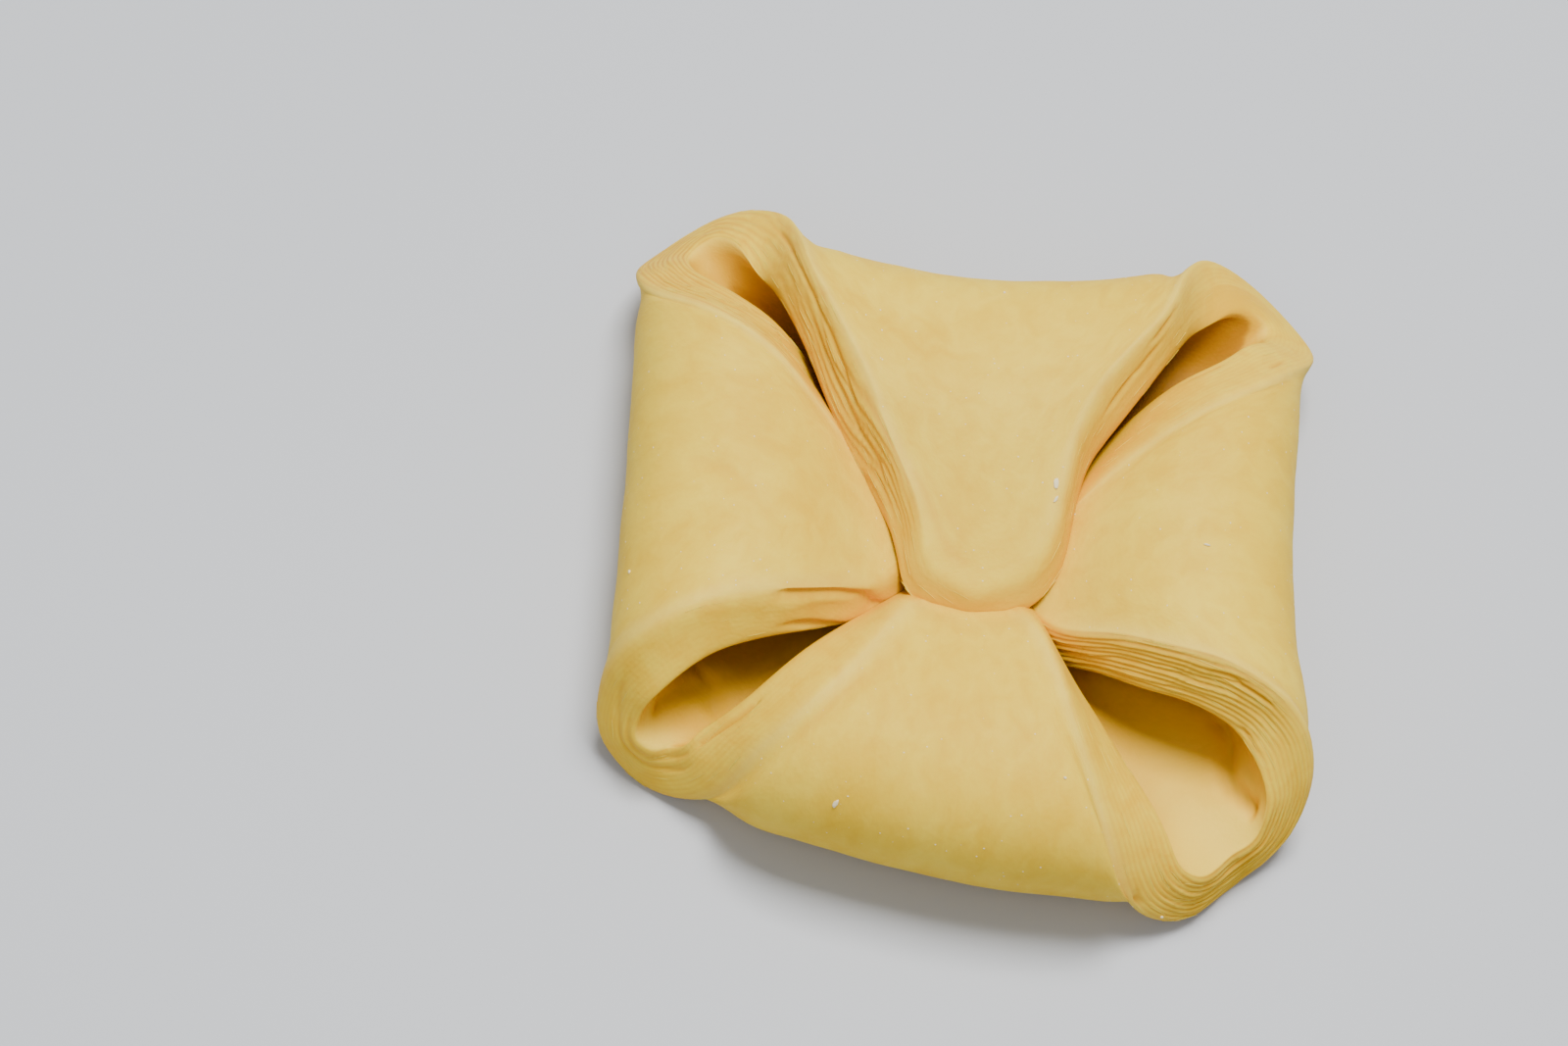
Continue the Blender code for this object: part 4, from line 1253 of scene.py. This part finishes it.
def place_group(tree, group, **values):
    """A group in a material, with its constant inputs set by name."""
    node = add_node(tree, "ShaderNodeGroup", node_tree=group)
    for label, value in values.items():
        node.inputs[label.replace("_", " ")].default_value = value
    return node


def mark_value(tree, name, vector=False):
    node = add_node(tree, "ShaderNodeAttribute", attribute_name=name)
    return node.outputs["Vector"] if vector else node.outputs["Fac"]


def mixed_colour(tree, share, first, second):
    """Mix of two colours, each given as a socket or a value; share is a socket or a number."""
    mix = add_node(tree, "ShaderNodeMix", data_type="RGBA")
    for label, given in (("Factor", share), ("A", first), ("B", second)):
        if isinstance(given, bpy.types.NodeSocket):
            tree.links.new(given, mix.inputs[label])
        elif isinstance(given, tuple):
            mix.inputs[label].default_value = (*given, 1.0)
        else:
            mix.inputs[label].default_value = given
    return mix.outputs["Result"]


def scaled_value(tree, socket, factor, shift=0.0):
    node = add_node(tree, "ShaderNodeMath", operation="MULTIPLY_ADD")
    tree.links.new(socket, node.inputs[0])
    node.inputs[1].default_value = factor
    node.inputs[2].default_value = shift
    return node.outputs["Value"]


def share_between(tree, socket, low, high):
    """Share from 0 to 1 as a value goes from low to high."""
    node = add_node(tree, "ShaderNodeMapRange", interpolation_type="SMOOTHSTEP")
    tree.links.new(socket, node.inputs["Value"])
    node.inputs["From Min"].default_value = low
    node.inputs["From Max"].default_value = high
    return node.outputs["Result"]


def dough_colour(tree, place, patch_group):
    """Colour of the dough: skin and cut faces in patches, painted golden shade in the small cuts and
    creases, painted amber and red-brown shade in the folds.
    """
    broad, small = (place_group(tree, patch_group, Patches_Per_Metre=patches,
                                Pale=(*SKIN_PALE, 1), Deep=(*SKIN_DEEP, 1))
                    for patches in (BROAD_PATCHES, SMALL_PATCHES))
    tree.links.new(place, broad.inputs["Place"])
    tree.links.new(place, small.inputs["Place"])
    inner_share = scaled_value(tree, mark_value(tree, "inner_skin"), INNER_SKIN_SHARE)
    lip_share = scaled_value(tree, mark_value(tree, "lip"), LIP_SHARE)
    skin = mixed_colour(tree, SMALL_PATCH_SHARE, broad.outputs["Color"], small.outputs["Color"])
    skin = mixed_colour(tree, inner_share, skin, INNER_SKIN)
    cut = mixed_colour(tree, small.outputs["Share"], CUT_PALE, CUT_DEEP)
    cut = mixed_colour(tree, mark_value(tree, "groove"), cut, CUT_GROOVE)
    colour = mixed_colour(tree, mark_value(tree, "cut_face"), skin, cut)
    colour = mixed_colour(tree, lip_share, colour, LIP_PALE)
    # Painted golden shade in the small cuts and creases
    colour = mixed_colour(tree, mark_value(tree, "painted_crease_shade"), colour, PAINTED_CREASE_GOLD)
    # Painted amber and red-brown shade where the folds hide the sky
    painted_fold_shade = mark_value(tree, "painted_fold_shade")
    colour = mixed_colour(tree, share_between(tree, painted_fold_shade, *PAINTED_AMBER_RANGE), colour, PAINTED_SHADE_AMBER)
    return mixed_colour(tree, share_between(tree, painted_fold_shade, *PAINTED_BROWN_RANGE), colour, PAINTED_SHADE_BROWN)


def make_dough_material(grain_group, patch_group):
    """Raw laminated dough: pale buttery skin, golden layered cut faces, pale lips."""
    material, tree, shader = new_material("raw_dough")
    place = mark_value(tree, "sheet_place", vector=True)
    tree.links.new(dough_colour(tree, place, patch_group), shader.inputs["Base Color"])
    grain = place_group(tree, grain_group, Grains_Per_Metre=DOUGH_GRAINS)
    tree.links.new(place, grain.inputs["Place"])
    tree.links.new(scaled_value(tree, grain.outputs["Share"], 0.25, 0.42), shader.inputs["Roughness"])
    bump = add_node(tree, "ShaderNodeBump")
    bump.inputs["Strength"].default_value = 0.35
    bump.inputs["Distance"].default_value = 0.0002
    tree.links.new(grain.outputs["Height"], bump.inputs["Height"])
    tree.links.new(bump.outputs["Normal"], shader.inputs["Normal"])
    shader.inputs["Specular IOR Level"].default_value = 0.12
    shader.inputs["Subsurface Weight"].default_value = 0.12
    shader.inputs["Subsurface Radius"].default_value = (1.0, 0.7, 0.35)
    shader.inputs["Subsurface Scale"].default_value = 0.0028
    return material


def make_flour_material(grain_group):
    """Dry flour: matt cream white with a little grain."""
    material, tree, shader = new_material("flour")
    coordinates = add_node(tree, "ShaderNodeTexCoord")
    grain = place_group(tree, grain_group, Grains_Per_Metre=FLOUR_GRAINS)
    tree.links.new(coordinates.outputs["Object"], grain.inputs["Place"])
    colour = mixed_colour(tree, grain.outputs["Share"], FLOUR_PALE, FLOUR_DEEP)
    tree.links.new(colour, shader.inputs["Base Color"])
    tree.links.new(scaled_value(tree, grain.outputs["Share"], 0.2, 0.7), shader.inputs["Roughness"])
    return material


def make_shred_material(grain_group):
    """Thin torn layers of dough, paler than the cut face they lie on."""
    material, tree, shader = new_material("dough_shreds")
    coordinates = add_node(tree, "ShaderNodeTexCoord")
    grain = place_group(tree, grain_group, Grains_Per_Metre=SHRED_GRAINS)
    tree.links.new(coordinates.outputs["Object"], grain.inputs["Place"])
    tree.links.new(mixed_colour(tree, grain.outputs["Share"], SKIN_PALE, CUT_PALE),
                   shader.inputs["Base Color"])
    shader.inputs["Roughness"].default_value = 0.6
    shader.inputs["Subsurface Weight"].default_value = 0.3
    shader.inputs["Subsurface Radius"].default_value = (1.0, 0.5, 0.2)
    shader.inputs["Subsurface Scale"].default_value = 0.001
    return material


def make_table_material():
    """Plain pale table with a barely uneven finish."""
    material, tree, shader = new_material("pale_table")
    coordinates = add_node(tree, "ShaderNodeTexCoord")
    noise = add_node(tree, "ShaderNodeTexNoise")
    noise.inputs["Scale"].default_value = 9.0
    tree.links.new(coordinates.outputs["Object"], noise.inputs["Vector"])
    tree.links.new(mixed_colour(tree, noise.outputs["Fac"], TABLE_PALE, TABLE_DEEP),
                   shader.inputs["Base Color"])
    shader.inputs["Roughness"].default_value = 0.5
    return material


# ---- table, light and camera ----

def make_table():
    """Plain table under the pastry, which is no part of it."""
    mesh = bpy.data.meshes.new("table_top")
    half = TABLE_SIZE / 2
    corners = [(-half, -half, 0.0), (half, -half, 0.0), (half, half, 0.0), (-half, half, 0.0)]
    mesh.from_pydata(corners, [], [(0, 1, 2, 3)])
    table = add_object("table_top", mesh)
    mesh.materials.append(make_table_material())


def make_soft_light(name, place, aim, size, power, colour):
    """Large square lamp at a place, turned towards the aim."""
    lamp = bpy.data.lights.new(name, "AREA")
    lamp.shape = "SQUARE"
    lamp.size = size
    lamp.energy = power
    lamp.color = colour
    holder = add_object(name, lamp)
    holder.location = place
    holder.rotation_euler = (Vector(aim) - Vector(place)).to_track_quat("-Z", "Y").to_euler()


def make_sky():
    """Soft even light from all around."""
    world = bpy.data.worlds.new("studio")
    world.use_nodes = True
    background = world.node_tree.nodes["Background"]
    background.inputs["Color"].default_value = (*SKY_COLOUR, 1.0)
    background.inputs["Strength"].default_value = SKY_STRENGTH
    bpy.context.scene.world = world


def make_camera(aim):
    """Camera at the photo's angle to the pastry, turned so that the aim falls where it does there."""
    azimuth, elevation = math.radians(VIEW_AZIMUTH), math.radians(VIEW_ELEVATION)
    back = Vector((math.sin(azimuth) * math.cos(elevation),
                   -math.cos(azimuth) * math.cos(elevation), math.sin(elevation)))
    level = (-back).cross(Vector((0, 0, 1))).normalized()
    above = level.cross(-back)
    roll = math.radians(VIEW_ROLL)
    right = level * math.cos(roll) + above * math.sin(roll)
    up = above * math.cos(roll) - level * math.sin(roll)
    aside = (AIM_PIXEL[0] - PHOTO_SIZE[0] / 2) / FOCAL_PIXELS
    below = (AIM_PIXEL[1] - PHOTO_SIZE[1] / 2) / FOCAL_PIXELS
    ahead = (-back - right * aside + up * below).normalized()
    right = ahead.cross(up).normalized()
    up = right.cross(ahead)
    data = bpy.data.cameras.new("camera")
    data.sensor_width = SENSOR_WIDTH
    data.lens = FOCAL_PIXELS / PHOTO_SIZE[0] * SENSOR_WIDTH
    camera = add_object("camera", data)
    turn = Matrix((right, up, -ahead)).transposed().to_4x4()
    camera.matrix_world = Matrix.Translation(Vector(aim) + back * VIEW_DISTANCE) @ turn
    bpy.context.scene.camera = camera


def main():
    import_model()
    grain_group = mealy_grain_group()
    guide_grid = solve_sheet(GRID_CELLS)
    middle = middle_on_table(guide_grid)
    dough = make_dough(make_dough_material(grain_group, mottle_group()), guide_grid, middle)
    flour = make_flour_material(grain_group)
    specks = make_specks(dough, flour)
    shreds = make_shreds(dough, make_shred_material(grain_group))
    crumbs = make_crumbs(dough, flour)
    for piece in (dough, specks, shreds, crumbs):
        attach(piece, "root")
        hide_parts("dough")
    make_table()
    make_sky()
    aim = Vector((-middle[0], -middle[1], AIM_HEIGHT)) * MILLIMETRE
    make_soft_light("key_light", KEY_PLACE, aim, KEY_SIZE, KEY_POWER, KEY_COLOUR)
    make_soft_light("fill_light", FILL_PLACE, aim, FILL_SIZE, FILL_POWER, FILL_COLOUR)
    make_camera(aim)


main()
